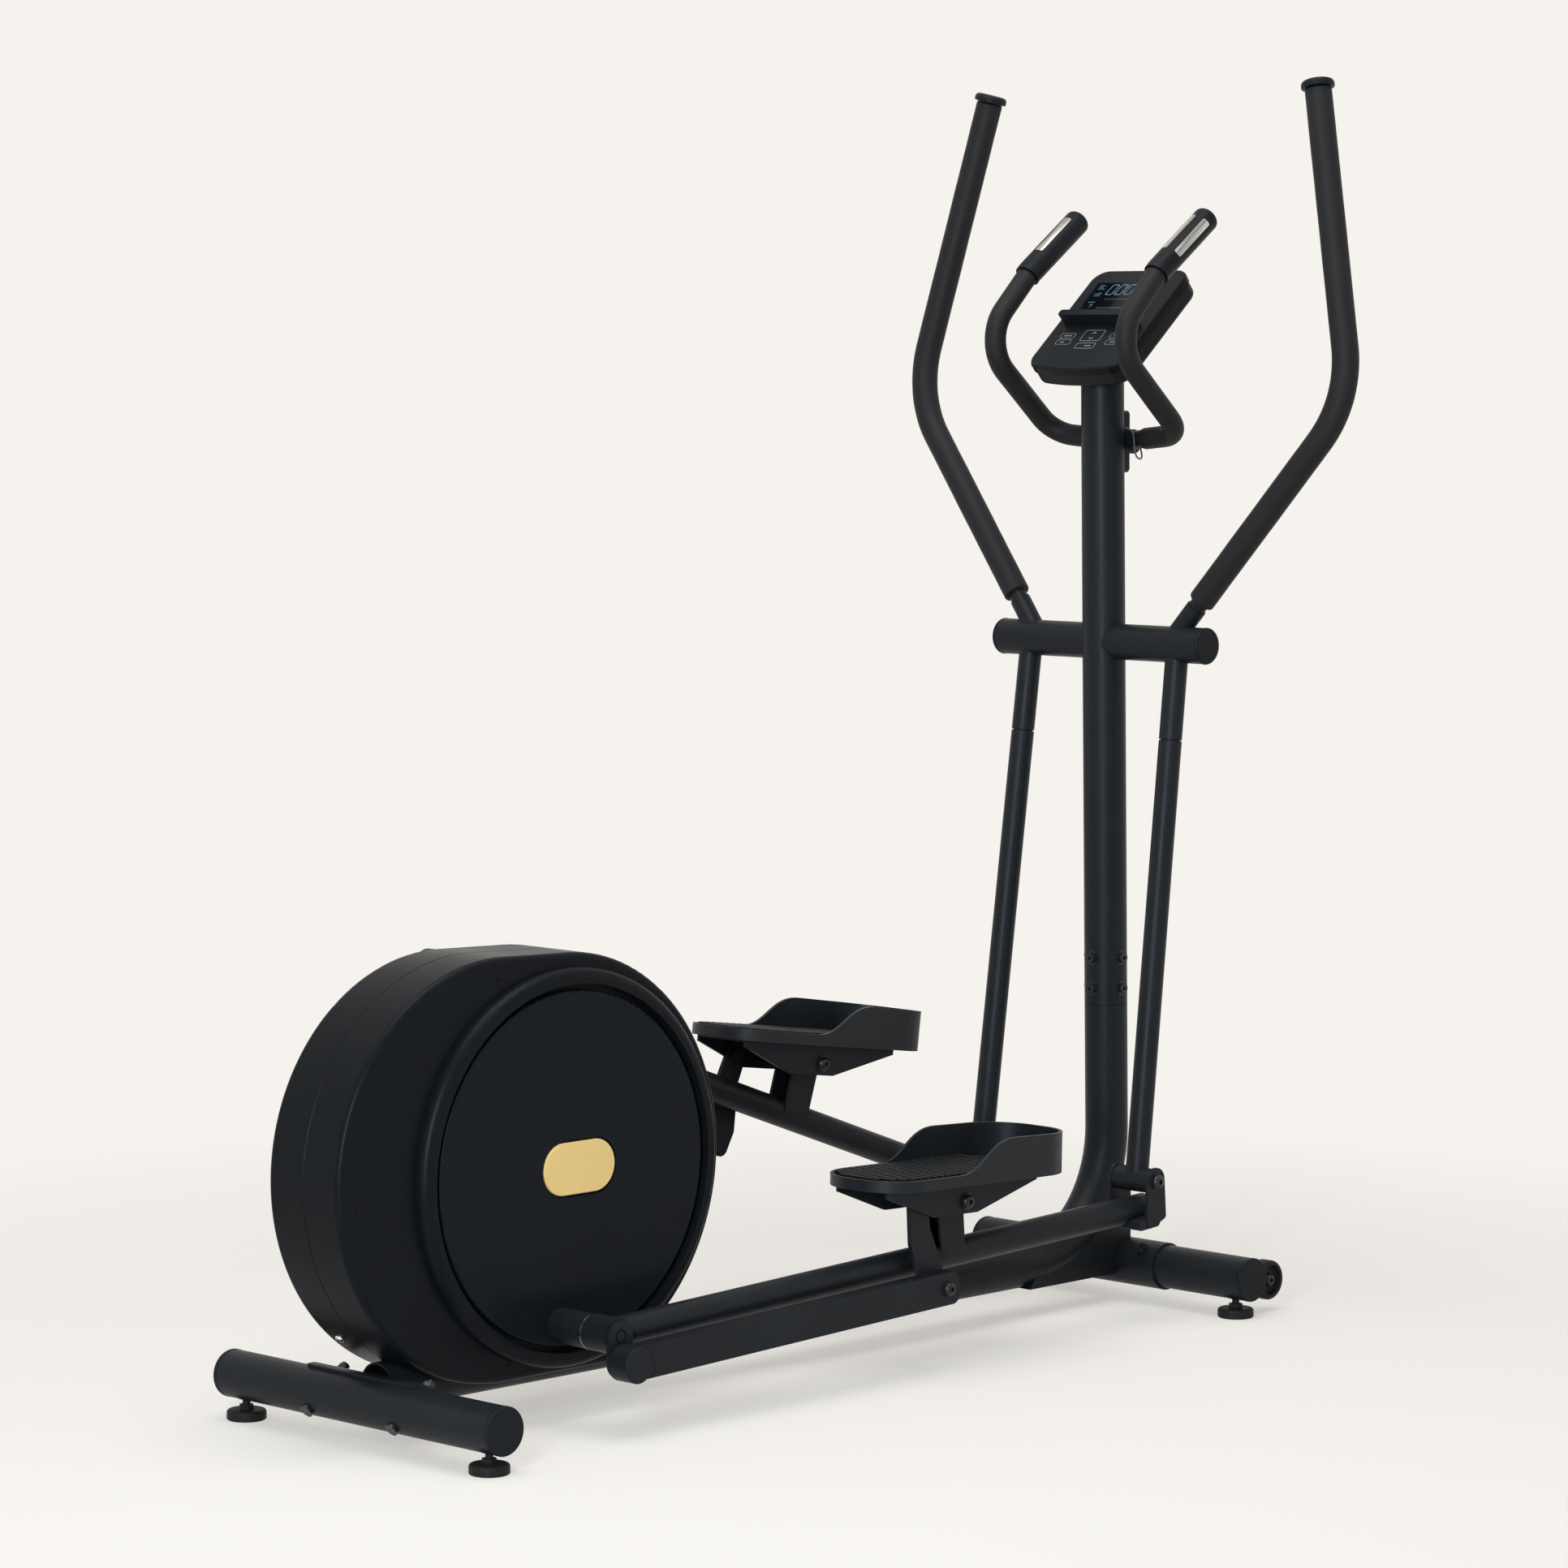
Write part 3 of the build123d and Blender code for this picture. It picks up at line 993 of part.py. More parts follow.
with BuildPart() as pulse_plate:
    add(plate_blank.part)
    add(plate_window.part, mode=Mode.INTERSECT)
with BuildPart() as pulse_grip_cut:
    add(pulse_grip.part)
    add(pulse_plate.part, mode=Mode.SUBTRACT)
save(both_sides(pulse_grip_cut.part), "pulse_grips")
save(both_sides(pulse_plate.part), "pulse_plates")

# Clamp that holds the handlebar to the mast
mast_outer = tube([(mast_x(MAST_TOP - 190), 0, MAST_TOP - 190), (mast_x(MAST_TOP), 0, MAST_TOP)], MAIN_R)
bar_solid = tube(bar_points, BAR_R + 0.05, 0, BAR_BENDS)
with BuildPart() as handlebar_clamp:
    with BuildSketch(Plane.YZ.offset(mast_x(BAR_MID_Z) + MAIN_R - 6)):
        with Locations((0, BAR_MID_Z)):
            RectangleRounded(38, 86, 6)
    extrude(amount=11)
    rod(BAR_MID_X, BAR_MID_Z, -19, 19, BAR_R + 4)
    add(mast_outer, mode=Mode.SUBTRACT)
    add(bar_solid, mode=Mode.SUBTRACT)
    for z in (BAR_MID_Z - 31, BAR_MID_Z + 31):
        bar_from((mast_x(z) + MAIN_R + 3, 0, z), Vector(1, 0, 0), 6.5, 7.0)
save(handlebar_clamp.part, "handlebar_clamp")

# Console: a two-part shell on the top of the mast with a tablet ledge, and the display lens let into it
SLOPE = radians(CONSOLE_TILT)
CONSOLE_X = mast_x(MAST_TOP) + 11.3
console_plane = Plane(
    origin=(CONSOLE_X, 0, CONSOLE_Z),
    x_dir=(0, -1, 0),
    z_dir=(-sin(SLOPE), 0, cos(SLOPE)),
)
LENS_WIDE = CONSOLE_WIDE - 39.0
LENS_HIGH = 70.0
LENS_UP = CONSOLE_LONG / 2 - 62.5
LEDGE_WIDE = CONSOLE_WIDE - 33.0
LEDGE_UP = CONSOLE_LONG / 2 - 117.0
UPPER_THICK = 13.0


def console_outline(inset):
    # Rounded slab outline with a bowed lower edge, on the plane of the face
    half = CONSOLE_WIDE / 2 - inset
    end = CONSOLE_LONG / 2 - inset
    with BuildLine() as outline:
        Polyline((-half, -end), (-half, end), (half, end), (half, -end))
        ThreePointArc((half, -end), (0, -end - CONSOLE_BOW), (-half, -end))
    make_face(outline.edges())


with BuildPart() as lower_shell:
    with BuildSketch(console_plane.offset(-CONSOLE_THICK)) as outline:
        console_outline(1.4)
        fillet(outline.vertices(), radius=23.0)
    extrude(amount=CONSOLE_THICK - UPPER_THICK)
    under = lower_shell.faces().filter_by(lambda f: f.normal_at().dot(console_plane.z_dir) < -0.999)
    fillet(under.sort_by(SortBy.AREA)[-1].outer_wire().edges(), radius=8.0)
with BuildPart() as upper_shell:
    with BuildSketch(console_plane.offset(-UPPER_THICK)) as outline:
        console_outline(0)
        fillet(outline.vertices(), radius=24.0)
    extrude(amount=UPPER_THICK)
    face = upper_shell.faces().filter_by(lambda f: f.normal_at().dot(console_plane.z_dir) > 0.999)
    fillet(face.sort_by(SortBy.AREA)[-1].outer_wire().edges(), radius=3.5)
with BuildPart() as console_body:
    bar_from((mast_x(MAST_TOP), 0, MAST_TOP + 0.4), MAST_DIR, 130, MAIN_R)
    with BuildSketch(console_plane.offset(-8)):
        Rectangle(500, 500)
    extrude(amount=300, mode=Mode.SUBTRACT)
    bar_from((mast_x(MAST_TOP - 40), 0, MAST_TOP - 40), MAST_DIR, 45, MAIN_R - MAIN_WALL - 0.2)
    add(lower_shell.part)
    add(upper_shell.part)
    with BuildSketch(console_plane.offset(-2.0)):
        with Locations((0, LENS_UP)):
            RectangleRounded(LENS_WIDE + 0.2, LENS_HIGH + 0.2, 4.1)
    extrude(amount=4, mode=Mode.SUBTRACT)
    with BuildSketch(console_plane.offset(-1)):
        with Locations((0, LEDGE_UP)):
            RectangleRounded(LEDGE_WIDE, 5, 2.4)
    extrude(amount=20)
    with BuildSketch(console_plane.offset(16)):
        with Locations((0, LEDGE_UP + 3)):
            RectangleRounded(LEDGE_WIDE + 2, 11, 3.0)
    extrude(amount=4.5)
save(console_body.part, "console_body")

with BuildPart() as console_lens:
    with BuildSketch(console_plane.offset(-2.0)):
        with Locations((0, LENS_UP)):
            RectangleRounded(LENS_WIDE, LENS_HIGH, 4)
    extrude(amount=2.0)
save(console_lens.part, "console_lens")

# Pulse lead: a short loop from the mast to the underside of the handlebar
LEAD_R = 1.2
lead_x = mast_x(BAR_MID_Z + 9)
lead_end = along(centre, wrist, 36)
lead_points = [
    (lead_x + 19.4, -23.4, BAR_MID_Z + 20),
    (lead_x + 26, -33, BAR_MID_Z + 17),
    (lead_x + 19, -41, BAR_MID_Z - 1),
    (lead_x + 19, -44, BAR_MID_Z - 22),
    (lead_x + 38, -42, BAR_MID_Z - 25),
    (lead_end.X, lead_end.Y, lead_end.Z - BAR_R - 0.3),
]


def cord_radii(points):
    radii = []
    for before, at, after in zip(points, points[1:], points[2:]):
        a = Vector(at) - Vector(before)
        b = Vector(after) - Vector(at)
        half = radians(a.get_angle(b)) / 2
        radii.append(0.45 * min(a.length, b.length) / tan(half))
    return radii


LEAD_RADII = cord_radii(lead_points)
print("lead radii", [round(r, 1) for r in LEAD_RADII])
lead = tube(lead_points, LEAD_R, 0, LEAD_RADII)
with BuildPart() as pulse_lead:
    add(lead)
save(pulse_lead.part, "pulse_lead")

print("rear x", round(REAR_X, 3), "front", round(FRONT_REACH + REAR_X, 3))
for side in ("right", "left"):
    print(side, "arm", round(ARM_TURN[side], 3), "pedal pin", PEDAL_PIN[side], "link pin", LINK_PIN[side],
          "link turn", round(LINK_TURN[side], 3), "pin", PIN[side])
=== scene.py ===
import bpy
import bmesh
import json
from math import cos, pi, radians, sin, sqrt
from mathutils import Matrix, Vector


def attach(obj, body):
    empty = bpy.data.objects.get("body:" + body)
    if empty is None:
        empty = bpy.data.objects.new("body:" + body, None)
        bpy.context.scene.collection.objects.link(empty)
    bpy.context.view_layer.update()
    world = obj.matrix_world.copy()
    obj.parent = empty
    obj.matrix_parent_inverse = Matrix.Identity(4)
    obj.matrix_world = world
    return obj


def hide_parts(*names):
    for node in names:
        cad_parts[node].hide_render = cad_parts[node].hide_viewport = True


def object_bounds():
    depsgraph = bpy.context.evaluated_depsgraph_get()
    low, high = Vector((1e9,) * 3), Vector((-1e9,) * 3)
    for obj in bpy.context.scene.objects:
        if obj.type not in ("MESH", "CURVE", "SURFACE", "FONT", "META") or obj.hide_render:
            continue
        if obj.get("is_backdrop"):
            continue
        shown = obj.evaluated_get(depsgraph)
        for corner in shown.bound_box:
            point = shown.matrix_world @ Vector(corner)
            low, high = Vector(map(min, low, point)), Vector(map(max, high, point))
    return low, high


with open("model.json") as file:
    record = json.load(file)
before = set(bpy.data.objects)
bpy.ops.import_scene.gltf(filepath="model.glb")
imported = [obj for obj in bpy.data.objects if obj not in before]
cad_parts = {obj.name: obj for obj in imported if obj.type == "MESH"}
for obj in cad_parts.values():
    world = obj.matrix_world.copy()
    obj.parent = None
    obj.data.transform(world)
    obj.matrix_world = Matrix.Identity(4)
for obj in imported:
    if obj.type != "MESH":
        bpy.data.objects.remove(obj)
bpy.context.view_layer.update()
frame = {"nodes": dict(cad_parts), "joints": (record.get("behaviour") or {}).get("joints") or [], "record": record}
nodes = frame["nodes"]
joint_at = {joint["name"]: joint["pos_m"] for joint in frame["joints"]}
MM = 0.001
SIDES = {"right": -1.0, "left": 1.0}


def in_scene(name, data):
    made = bpy.data.objects.new(name, data)
    bpy.context.scene.collection.objects.link(made)
    return made


# The camera stands where the photograph was taken from
REAR_X = joint_at["rear_right_foot_turn"][0]
CAMERA_AT = (REAR_X - 4.07866, -4.73087, 1.33673)
AZIMUTH = radians(-45.47)
ELEVATION = radians(4.82)
PHOTO_FOCAL = 6364.71
PHOTO_WIDE = 1932.0
SENSOR_WIDE = 36.0
camera_data = bpy.data.cameras.new("photo_camera")
camera_data.sensor_width = SENSOR_WIDE
camera_data.lens = SENSOR_WIDE * PHOTO_FOCAL / PHOTO_WIDE
camera_data.clip_end = 60.0
camera = in_scene("photo_camera", camera_data)
camera.location = CAMERA_AT
backward = Vector((sin(AZIMUTH) * cos(ELEVATION), -cos(AZIMUTH) * cos(ELEVATION), sin(ELEVATION)))
camera.rotation_euler = (-backward).to_track_quat("-Z", "Y").to_euler()
bpy.context.scene.camera = camera
bpy.context.scene.view_settings.view_transform = "Standard"

# Places on the machine, in metres
MAST_AHEAD = 1.3766
MAST_LEAN = 0.0163
MAST_FOOT_Z = 0.346
MAST_TOP_Z = 1.290


def mast_x(z):
    # The mast's middle line, which leans back a little as it rises
    return REAR_X + MAST_AHEAD - MAST_LEAN * (z - MAST_FOOT_Z)


def along(a, b, distance):
    run = Vector(b) - Vector(a)
    return Vector(a) + run * (distance / run.length)


CROSS_Z = 0.930
CROSS = Vector((mast_x(CROSS_Z), 0.0, CROSS_Z))
REST_SWING = radians(7.2)


def on_handle(point, side):
    # From the right-hand handle drawn upright about its axle, in millimetres
    x, y, z = (c * MM for c in point)
    swung_x = x * cos(REST_SWING) + z * sin(REST_SWING)
    swung_z = z * cos(REST_SWING) - x * sin(REST_SWING)
    return Vector((CROSS.x + swung_x, y if side == "right" else -y, CROSS.z + swung_z))


SLOPE = radians(40.9)
CONSOLE_AHEAD = 0.0113
CONSOLE_Z = 1.3802
CONSOLE_AT = Vector((mast_x(MAST_TOP_Z) + CONSOLE_AHEAD, 0.0, CONSOLE_Z))
CONSOLE_UP = Vector((cos(SLOPE), 0.0, sin(SLOPE)))
CONSOLE_OUT = Vector((-sin(SLOPE), 0.0, cos(SLOPE)))


def on_console(right, up, out):
    # Millimetres on the console's face: to the rider's right, up the slope, and out of the face
    return CONSOLE_AT + Vector((0, -right * MM, 0)) + CONSOLE_UP * (up * MM) + CONSOLE_OUT * (out * MM)


BAR_MID_Z = 1.2075
BAR_X = mast_x(BAR_MID_Z)
KNEE = Vector((BAR_X - 0.0225, -0.118, BAR_MID_Z + 0.2345))
ELBOW = Vector((BAR_X - 0.118, -0.120, BAR_MID_Z + 0.138))
WRIST = Vector((BAR_X + 0.0285, -0.117, BAR_MID_Z + 0.011))
BAR_CENTRE = Vector((BAR_X + 0.0438, 0.0, BAR_MID_Z))

# The lead of the pulse sensors runs from its hole in the mast to its hole in the handlebar
LEAD_RADIUS = 0.0012
LEAD_X = mast_x(BAR_MID_Z + 0.009)
BAR_HOLE = 0.036
HOLE_BELOW = 0.0133
lead_end = along(BAR_CENTRE, WRIST, BAR_HOLE)
lead_route = [
    (LEAD_X + 0.0194, -0.0234, BAR_MID_Z + 0.020),
    (LEAD_X + 0.026, -0.033, BAR_MID_Z + 0.017),
    (LEAD_X + 0.019, -0.041, BAR_MID_Z - 0.001),
    (LEAD_X + 0.019, -0.044, BAR_MID_Z - 0.022),
    (LEAD_X + 0.038, -0.042, BAR_MID_Z - 0.025),
    (lead_end.x, lead_end.y, lead_end.z - HOLE_BELOW),
]
lead_curve = bpy.data.curves.new("pulse_wire", "CURVE")
lead_curve.dimensions = "3D"
lead_curve.bevel_depth = LEAD_RADIUS
lead_curve.bevel_resolution = 4
lead_curve.resolution_u = 12
lead_curve.use_fill_caps = True
spline = lead_curve.splines.new("NURBS")
spline.points.add(len(lead_route) - 1)
for spot, point in zip(spline.points, lead_route):
    spot.co = (*point, 1.0)
spline.order_u = 3
spline.use_endpoint_u = True
lead_wire = in_scene("pulse_wire", lead_curve)


# Node helpers, for finishes and for grown shapes alike
def add_node(tree, kind, **settings):
    node = tree.nodes.new(kind)
    for key, value in settings.items():
        setattr(node, key, value)
    return node


def feed(tree, socket, value):
    if hasattr(value, "is_output"):
        tree.links.new(value, socket)
    else:
        socket.default_value = value


def step(tree, kind, inputs, **settings):
    node = add_node(tree, kind, **settings)
    for key, value in inputs.items():
        feed(tree, node.inputs[key], value)
    return node


def maths(tree, operation, a, b=0.0):
    return step(tree, "ShaderNodeMath", {0: a, 1: b}, operation=operation).outputs[0]


def ranged(tree, value, low, high, out_low=0.0, out_high=1.0):
    ends = {"Value": value, "From Min": low, "From Max": high, "To Min": out_low, "To Max": out_high}
    return step(tree, "ShaderNodeMapRange", ends).outputs["Result"]


def noise(tree, vector, scale, detail, rough=0.5):
    values = {"Vector": vector, "Scale": scale, "Detail": detail, "Roughness": rough}
    return step(tree, "ShaderNodeTexNoise", values).outputs[0]


def mixed(tree, share, a, b):
    return step(tree, "ShaderNodeMix", {0: share, 6: a, 7: b}, data_type="RGBA").outputs[2]


def new_tree(name, kind, inputs, outputs):
    tree = bpy.data.node_groups.new(name, kind)
    for label, sort, value in inputs:
        socket = tree.interface.new_socket(label, in_out="INPUT", socket_type="NodeSocket" + sort)
        if value is not None:
            socket.default_value = value
    for label, sort in outputs:
        tree.interface.new_socket(label, in_out="OUTPUT", socket_type="NodeSocket" + sort)
    return tree, tree.nodes.new("NodeGroupInput").outputs, tree.nodes.new("NodeGroupOutput").inputs


# Shared effects of the finishes
BLACK = (0.01, 0.01, 0.01, 1.0)
DUST_AND_TOP_LIGHT_TONE = (0.19, 0.18, 0.165, 1.0)
FINISH_OUT = [("Colour", "Color"), ("Roughness", "Float"), ("Height", "Float")]


def coat_grain_effect():
    # The orange peel of powder coat or moulded plastic, slow changes of gloss, and a paler tone on what faces up:
    # a little dust where it is small, painted light on the tops where it is strong
    inputs = [
        ("Vector", "Vector", None),
        ("Grain", "Float", 900.0),
        ("Gloss low", "Float", 0.36),
        ("Gloss high", "Float", 0.5),
        ("Deep", "Color", BLACK),
        ("Pale", "Color", BLACK),
        ("Dust and top light", "Float", 0.0),
    ]
    tree, given, result = new_tree("coat_grain", "ShaderNodeTree", inputs, FINISH_OUT)
    place = given["Vector"]
    peel = noise(tree, place, given["Grain"], detail=2.0)
    slow = noise(tree, place, scale=7.0, detail=4.0, rough=0.6)
    smear = noise(tree, place, scale=42.0, detail=5.0, rough=0.65)
    cloud = maths(tree, "ADD", maths(tree, "MULTIPLY", slow, 0.6), maths(tree, "MULTIPLY", smear, 0.4))
    tone = mixed(tree, ranged(tree, cloud, 0.34, 0.66), given["Deep"], given["Pale"])
    normal = add_node(tree, "ShaderNodeNewGeometry").outputs["Normal"]
    facing = step(tree, "ShaderNodeSeparateXYZ", {0: normal}).outputs["Z"]
    # Faces turned up take the pale tone: dust where its amount is small, painted top light where it is strong
    upward = ranged(tree, facing, 0.55, 1.0)
    grit = noise(tree, place, scale=260.0, detail=4.0, rough=0.75)
    specks = ranged(tree, grit, 0.42, 0.74, 0.1, 1.0)
    dust_and_top_light_share = maths(tree, "MULTIPLY", maths(tree, "MULTIPLY", upward, specks), given["Dust and top light"])
    feed(tree, result["Colour"], mixed(tree, dust_and_top_light_share, tone, DUST_AND_TOP_LIGHT_TONE))
    gloss = ranged(tree, cloud, 0.32, 0.68, given["Gloss low"], given["Gloss high"])
    dulled = maths(tree, "ADD", gloss, maths(tree, "MULTIPLY", dust_and_top_light_share, 1.6))
    feed(tree, result["Roughness"], dulled)
    feed(tree, result["Height"], peel)
    return tree


def foam_skin_effect():
    # Closed cells with a dry, slightly rubbed face
    inputs = [
        ("Vector", "Vector", None),
        ("Cells", "Float", 900.0),
        ("Deep", "Color", BLACK),
        ("Pale", "Color", BLACK),
    ]
    tree, given, result = new_tree("foam_skin", "ShaderNodeTree", inputs, FINISH_OUT)
    spread = {"Vector": given["Vector"], "Scale": given["Cells"]}
    cells = step(tree, "ShaderNodeTexVoronoi", spread, feature="SMOOTH_F1")
    rub = noise(tree, given["Vector"], scale=16.0, detail=5.0, rough=0.62)
    rubbed = ranged(tree, rub, 0.33, 0.67)
    feed(tree, result["Colour"], mixed(tree, rubbed, given["Deep"], given["Pale"]))
    feed(tree, result["Roughness"], ranged(tree, rub, 0.3, 0.7, 0.5, 0.62))
    feed(tree, result["Height"], cells.outputs["Distance"])
    return tree


def drawn_lines_effect():
    # Fine lines along one direction, as on drawn or ground metal
    inputs = [
        ("Vector", "Vector", None),
        ("Deep", "Color", BLACK),
        ("Pale", "Color", BLACK),
        ("Gloss low", "Float", 0.2),
        ("Gloss high", "Float", 0.4),
    ]
    tree, given, result = new_tree("drawn_lines", "ShaderNodeTree", inputs, FINISH_OUT)
    lines = noise(tree, given["Vector"], scale=1.0, detail=4.0, rough=0.7)
    streak = ranged(tree, lines, 0.3, 0.7)
    feed(tree, result["Colour"], mixed(tree, streak, given["Deep"], given["Pale"]))
    gloss = ranged(tree, lines, 0.3, 0.7, given["Gloss low"], given["Gloss high"])
    feed(tree, result["Roughness"], gloss)
    feed(tree, result["Height"], lines)
    return tree


coat_grain = coat_grain_effect()
foam_skin = foam_skin_effect()
drawn_lines = drawn_lines_effect()


# Finishes
def finish_with(name, effect, settings, bump, depth, level, metal=0.0, stretch=None, turn=(0, 0, 0)):
    # A material from one effect: level is the shader's own specular level, bump and depth its relief
    material = bpy.data.materials.new(name)
    material.use_nodes = True
    tree = material.node_tree
    shader = tree.nodes["Principled BSDF"]
    shader.inputs["Specular IOR Level"].default_value = level
    shader.inputs["Metallic"].default_value = metal
    vector = add_node(tree, "ShaderNodeTexCoord").outputs["Object"]
    if stretch:
        turned = step(tree, "ShaderNodeMapping", {"Vector": vector, "Rotation": turn})
        vector = step(tree, "ShaderNodeMapping", {"Vector": turned.outputs[0], "Scale": stretch}).outputs[0]
    grouped = add_node(tree, "ShaderNodeGroup", node_tree=effect)
    feed(tree, grouped.inputs["Vector"], vector)
    for label, value in settings.items():
        grouped.inputs[label].default_value = value
    feed(tree, shader.inputs["Base Color"], grouped.outputs["Colour"])
    feed(tree, shader.inputs["Roughness"], grouped.outputs["Roughness"])
    values = {"Strength": bump, "Distance": depth, "Height": grouped.outputs["Height"]}
    feed(tree, shader.inputs["Normal"], step(tree, "ShaderNodeBump", values).outputs["Normal"])
    return material


RELIEF = 0.0002
FOAM_RELIEF = 0.0003
METAL_BUMP = 0.1
METAL_LEVEL = 0.5


def coated(name, deep, pale, grain, gloss, bump, level, dust_and_top_light=0.0, metal=0.0):
    # Coated, moulded or printed: its two tones, then grain, lowest and highest roughness, relief and shine
    settings = {
        "Grain": grain,
        "Gloss low": gloss[0],
        "Gloss high": gloss[1],
        "Deep": (*deep, 1),
        "Pale": (*pale, 1),
        "Dust and top light": dust_and_top_light,
    }
    return finish_with(name, coat_grain, settings, bump, RELIEF, level, metal)


def drawn(name, deep, pale, gloss, stretch, turn=(0, 0, 0), metal=1.0):
    # Bare metal: its two tones, lowest and highest roughness, and how its lines run
    settings = {"Deep": (*deep, 1), "Pale": (*pale, 1), "Gloss low": gloss[0], "Gloss high": gloss[1]}
    return finish_with(name, drawn_lines, settings, METAL_BUMP, RELIEF, METAL_LEVEL, metal, stretch, turn)


def cool(level):
    # A blue-black
    return (level, level * 1.24, level * 1.55)


def neutral(level):
    # Nearly plain grey
    return (level, level * 1.04, level * 1.06)


powder_coat = coated(
    "powder_coat", cool(0.0076), cool(0.0098),
    grain=1500.0, gloss=(0.36, 0.46), bump=0.28, level=0.125, dust_and_top_light=0.02,
)
housing_plastic = coated(
    "housing_plastic", cool(0.0046), cool(0.0058),
    grain=1300.0, gloss=(0.3, 0.38), bump=0.16, level=0.06, dust_and_top_light=0.01,
)
disc_plastic = coated(
    "disc_plastic", cool(0.0058), cool(0.0072),
    grain=1700.0, gloss=(0.24, 0.33), bump=0.1, level=0.06,
)
pedal_plastic = coated(
    "pedal_plastic", cool(0.0082), cool(0.0104),
    grain=1100.0, gloss=(0.36, 0.46), bump=0.35, level=0.18, dust_and_top_light=0.03,
)
# The tread's strong pale tone on what faces up is painted light: the rib tops are painted paler, as if lit from
# above, beside their darker sides
tread_plastic = coated(
    "tread_plastic", cool(0.0042), cool(0.0056),
    grain=1100.0, gloss=(0.38, 0.48), bump=0.3, level=0.1, dust_and_top_light=0.2,
)
trim_plastic = coated(
    "trim_plastic", cool(0.0064), cool(0.0082),
    grain=1200.0, gloss=(0.36, 0.46), bump=0.25, level=0.09, dust_and_top_light=0.02,
)
foot_rubber = coated(
    "foot_rubber", neutral(0.0075), neutral(0.0105),
    grain=700.0, gloss=(0.5, 0.62), bump=0.4, level=0.14, dust_and_top_light=0.04,
)
lead_sheath = coated(
    "lead_sheath", neutral(0.05), neutral(0.07),
    grain=1500.0, gloss=(0.28, 0.36), bump=0.1, level=0.4,
)
gloss_plastic = coated(
    "gloss_plastic", neutral(0.003), neutral(0.0042),
    grain=500.0, gloss=(0.14, 0.2), bump=0.04, level=0.07,
)
display_lens = coated(
    "display_lens", (0.0025, 0.0035, 0.0045), (0.003, 0.004, 0.0055),
    grain=300.0, gloss=(0.09, 0.13), bump=0.0, level=0.1,
)
badge_gold = coated(
    "badge_gold", (0.69, 0.49, 0.192), (0.725, 0.525, 0.21),
    grain=900.0, gloss=(0.42, 0.5), bump=0.08, level=0.2,
)
black_bolt = coated(
    "black_bolt", neutral(0.011), neutral(0.017),
    grain=1600.0, gloss=(0.24, 0.36), bump=0.1, level=0.45, metal=0.4,
)
key_print = coated(
    "key_print", neutral(0.24), neutral(0.28),
    grain=1500.0, gloss=(0.45, 0.55), bump=0.05, level=0.2,
)
FOAM_DEEP = (0.0092, 0.0097, 0.0106, 1)
FOAM_PALE = (0.012, 0.0126, 0.0136, 1)
foam_settings = {"Cells": 1300.0, "Deep": FOAM_DEEP, "Pale": FOAM_PALE}
grip_foam = finish_with("grip_foam", foam_skin, foam_settings, bump=0.4, depth=FOAM_RELIEF, level=0.15)

PLATE_LEAN = radians(35.8)
flywheel_iron = drawn(
    "flywheel_iron", (0.1, 0.1, 0.1), (0.2, 0.2, 0.2),
    gloss=(0.3, 0.45), stretch=(300, 60, 300),
)
bright_steel = drawn(
    "bright_steel", (0.5, 0.5, 0.49), (0.68, 0.68, 0.66),
    gloss=(0.16, 0.26), stretch=(900, 120, 900),
)
# Its deep and pale tones lie far apart, so its streaks along the plates are a painted reflection, a dark stripe
# between bright bands, over the drawn lines
pulse_steel = drawn(
    "pulse_steel", (0.14, 0.135, 0.13), (0.8, 0.78, 0.75),
    gloss=(0.18, 0.32), stretch=(9, 300, 300), turn=(0, PLATE_LEAN, 0), metal=0.9,
)
chrome = drawn(
    "chrome", (0.68, 0.68, 0.68), (0.78, 0.78, 0.77),
    gloss=(0.06, 0.12), stretch=(700, 90, 700),
)
washer_steel = drawn(
    "washer_steel", (0.17, 0.17, 0.165), (0.26, 0.26, 0.255),
    gloss=(0.14, 0.24), stretch=(700, 90, 700),
)

# Lit marks of the display: pale blue, a little uneven over the panel
GLOW_DEEP = (0.08, 0.165, 0.245, 1)
GLOW_PALE = (0.11, 0.215, 0.31, 1)
display_glow = coated(
    "display_glow", (0.02, 0.03, 0.04), (0.03, 0.04, 0.05),
    grain=900.0, gloss=(0.3, 0.4), bump=0.0, level=0.2,
)
tree = display_glow.node_tree
shader = tree.nodes["Principled BSDF"]
panel = add_node(tree, "ShaderNodeTexCoord").outputs["Object"]
uneven = ranged(tree, noise(tree, panel, scale=60.0, detail=2.0), 0.35, 0.65)
feed(tree, shader.inputs["Emission Color"], mixed(tree, uneven, GLOW_DEEP, GLOW_PALE))
shader.inputs["Emission Strength"].default_value = 1.0

SLOT_FINISH = {
    "frame_steel": powder_coat,
    "black_plastic": trim_plastic,
    "grip_foam": grip_foam,
    "foot_rubber": foot_rubber,
    "bright_steel": bright_steel,
    "black_bolts": black_bolt,
    "flywheel_iron": flywheel_iron,
    "belt_rubber": foot_rubber,
    "disc_plastic": disc_plastic,
    "badge_gold": badge_gold,
    "pulse_steel": pulse_steel,
    "display_lens": display_lens,
    "lead_sheath": lead_sheath,
    "pedal_plastic": pedal_plastic,
}
for part in frame["record"]["subparts"]:
    node = nodes[part["node"]]
    finish = SLOT_FINISH[part["material_slot"]]
    if part["node"].startswith("housing"):
        finish = housing_plastic
    node.data.materials.clear()
    node.data.materials.append(finish)

lead_curve.materials.append(lead_sheath)
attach(lead_wire, "base")
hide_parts("pulse_lead")

# Pieces: their meshes are drawn where they sit on the machine, so every object stays at the origin
WELD = 1e-6
CREASE = radians(38)
ROLL_FROM = radians(55)


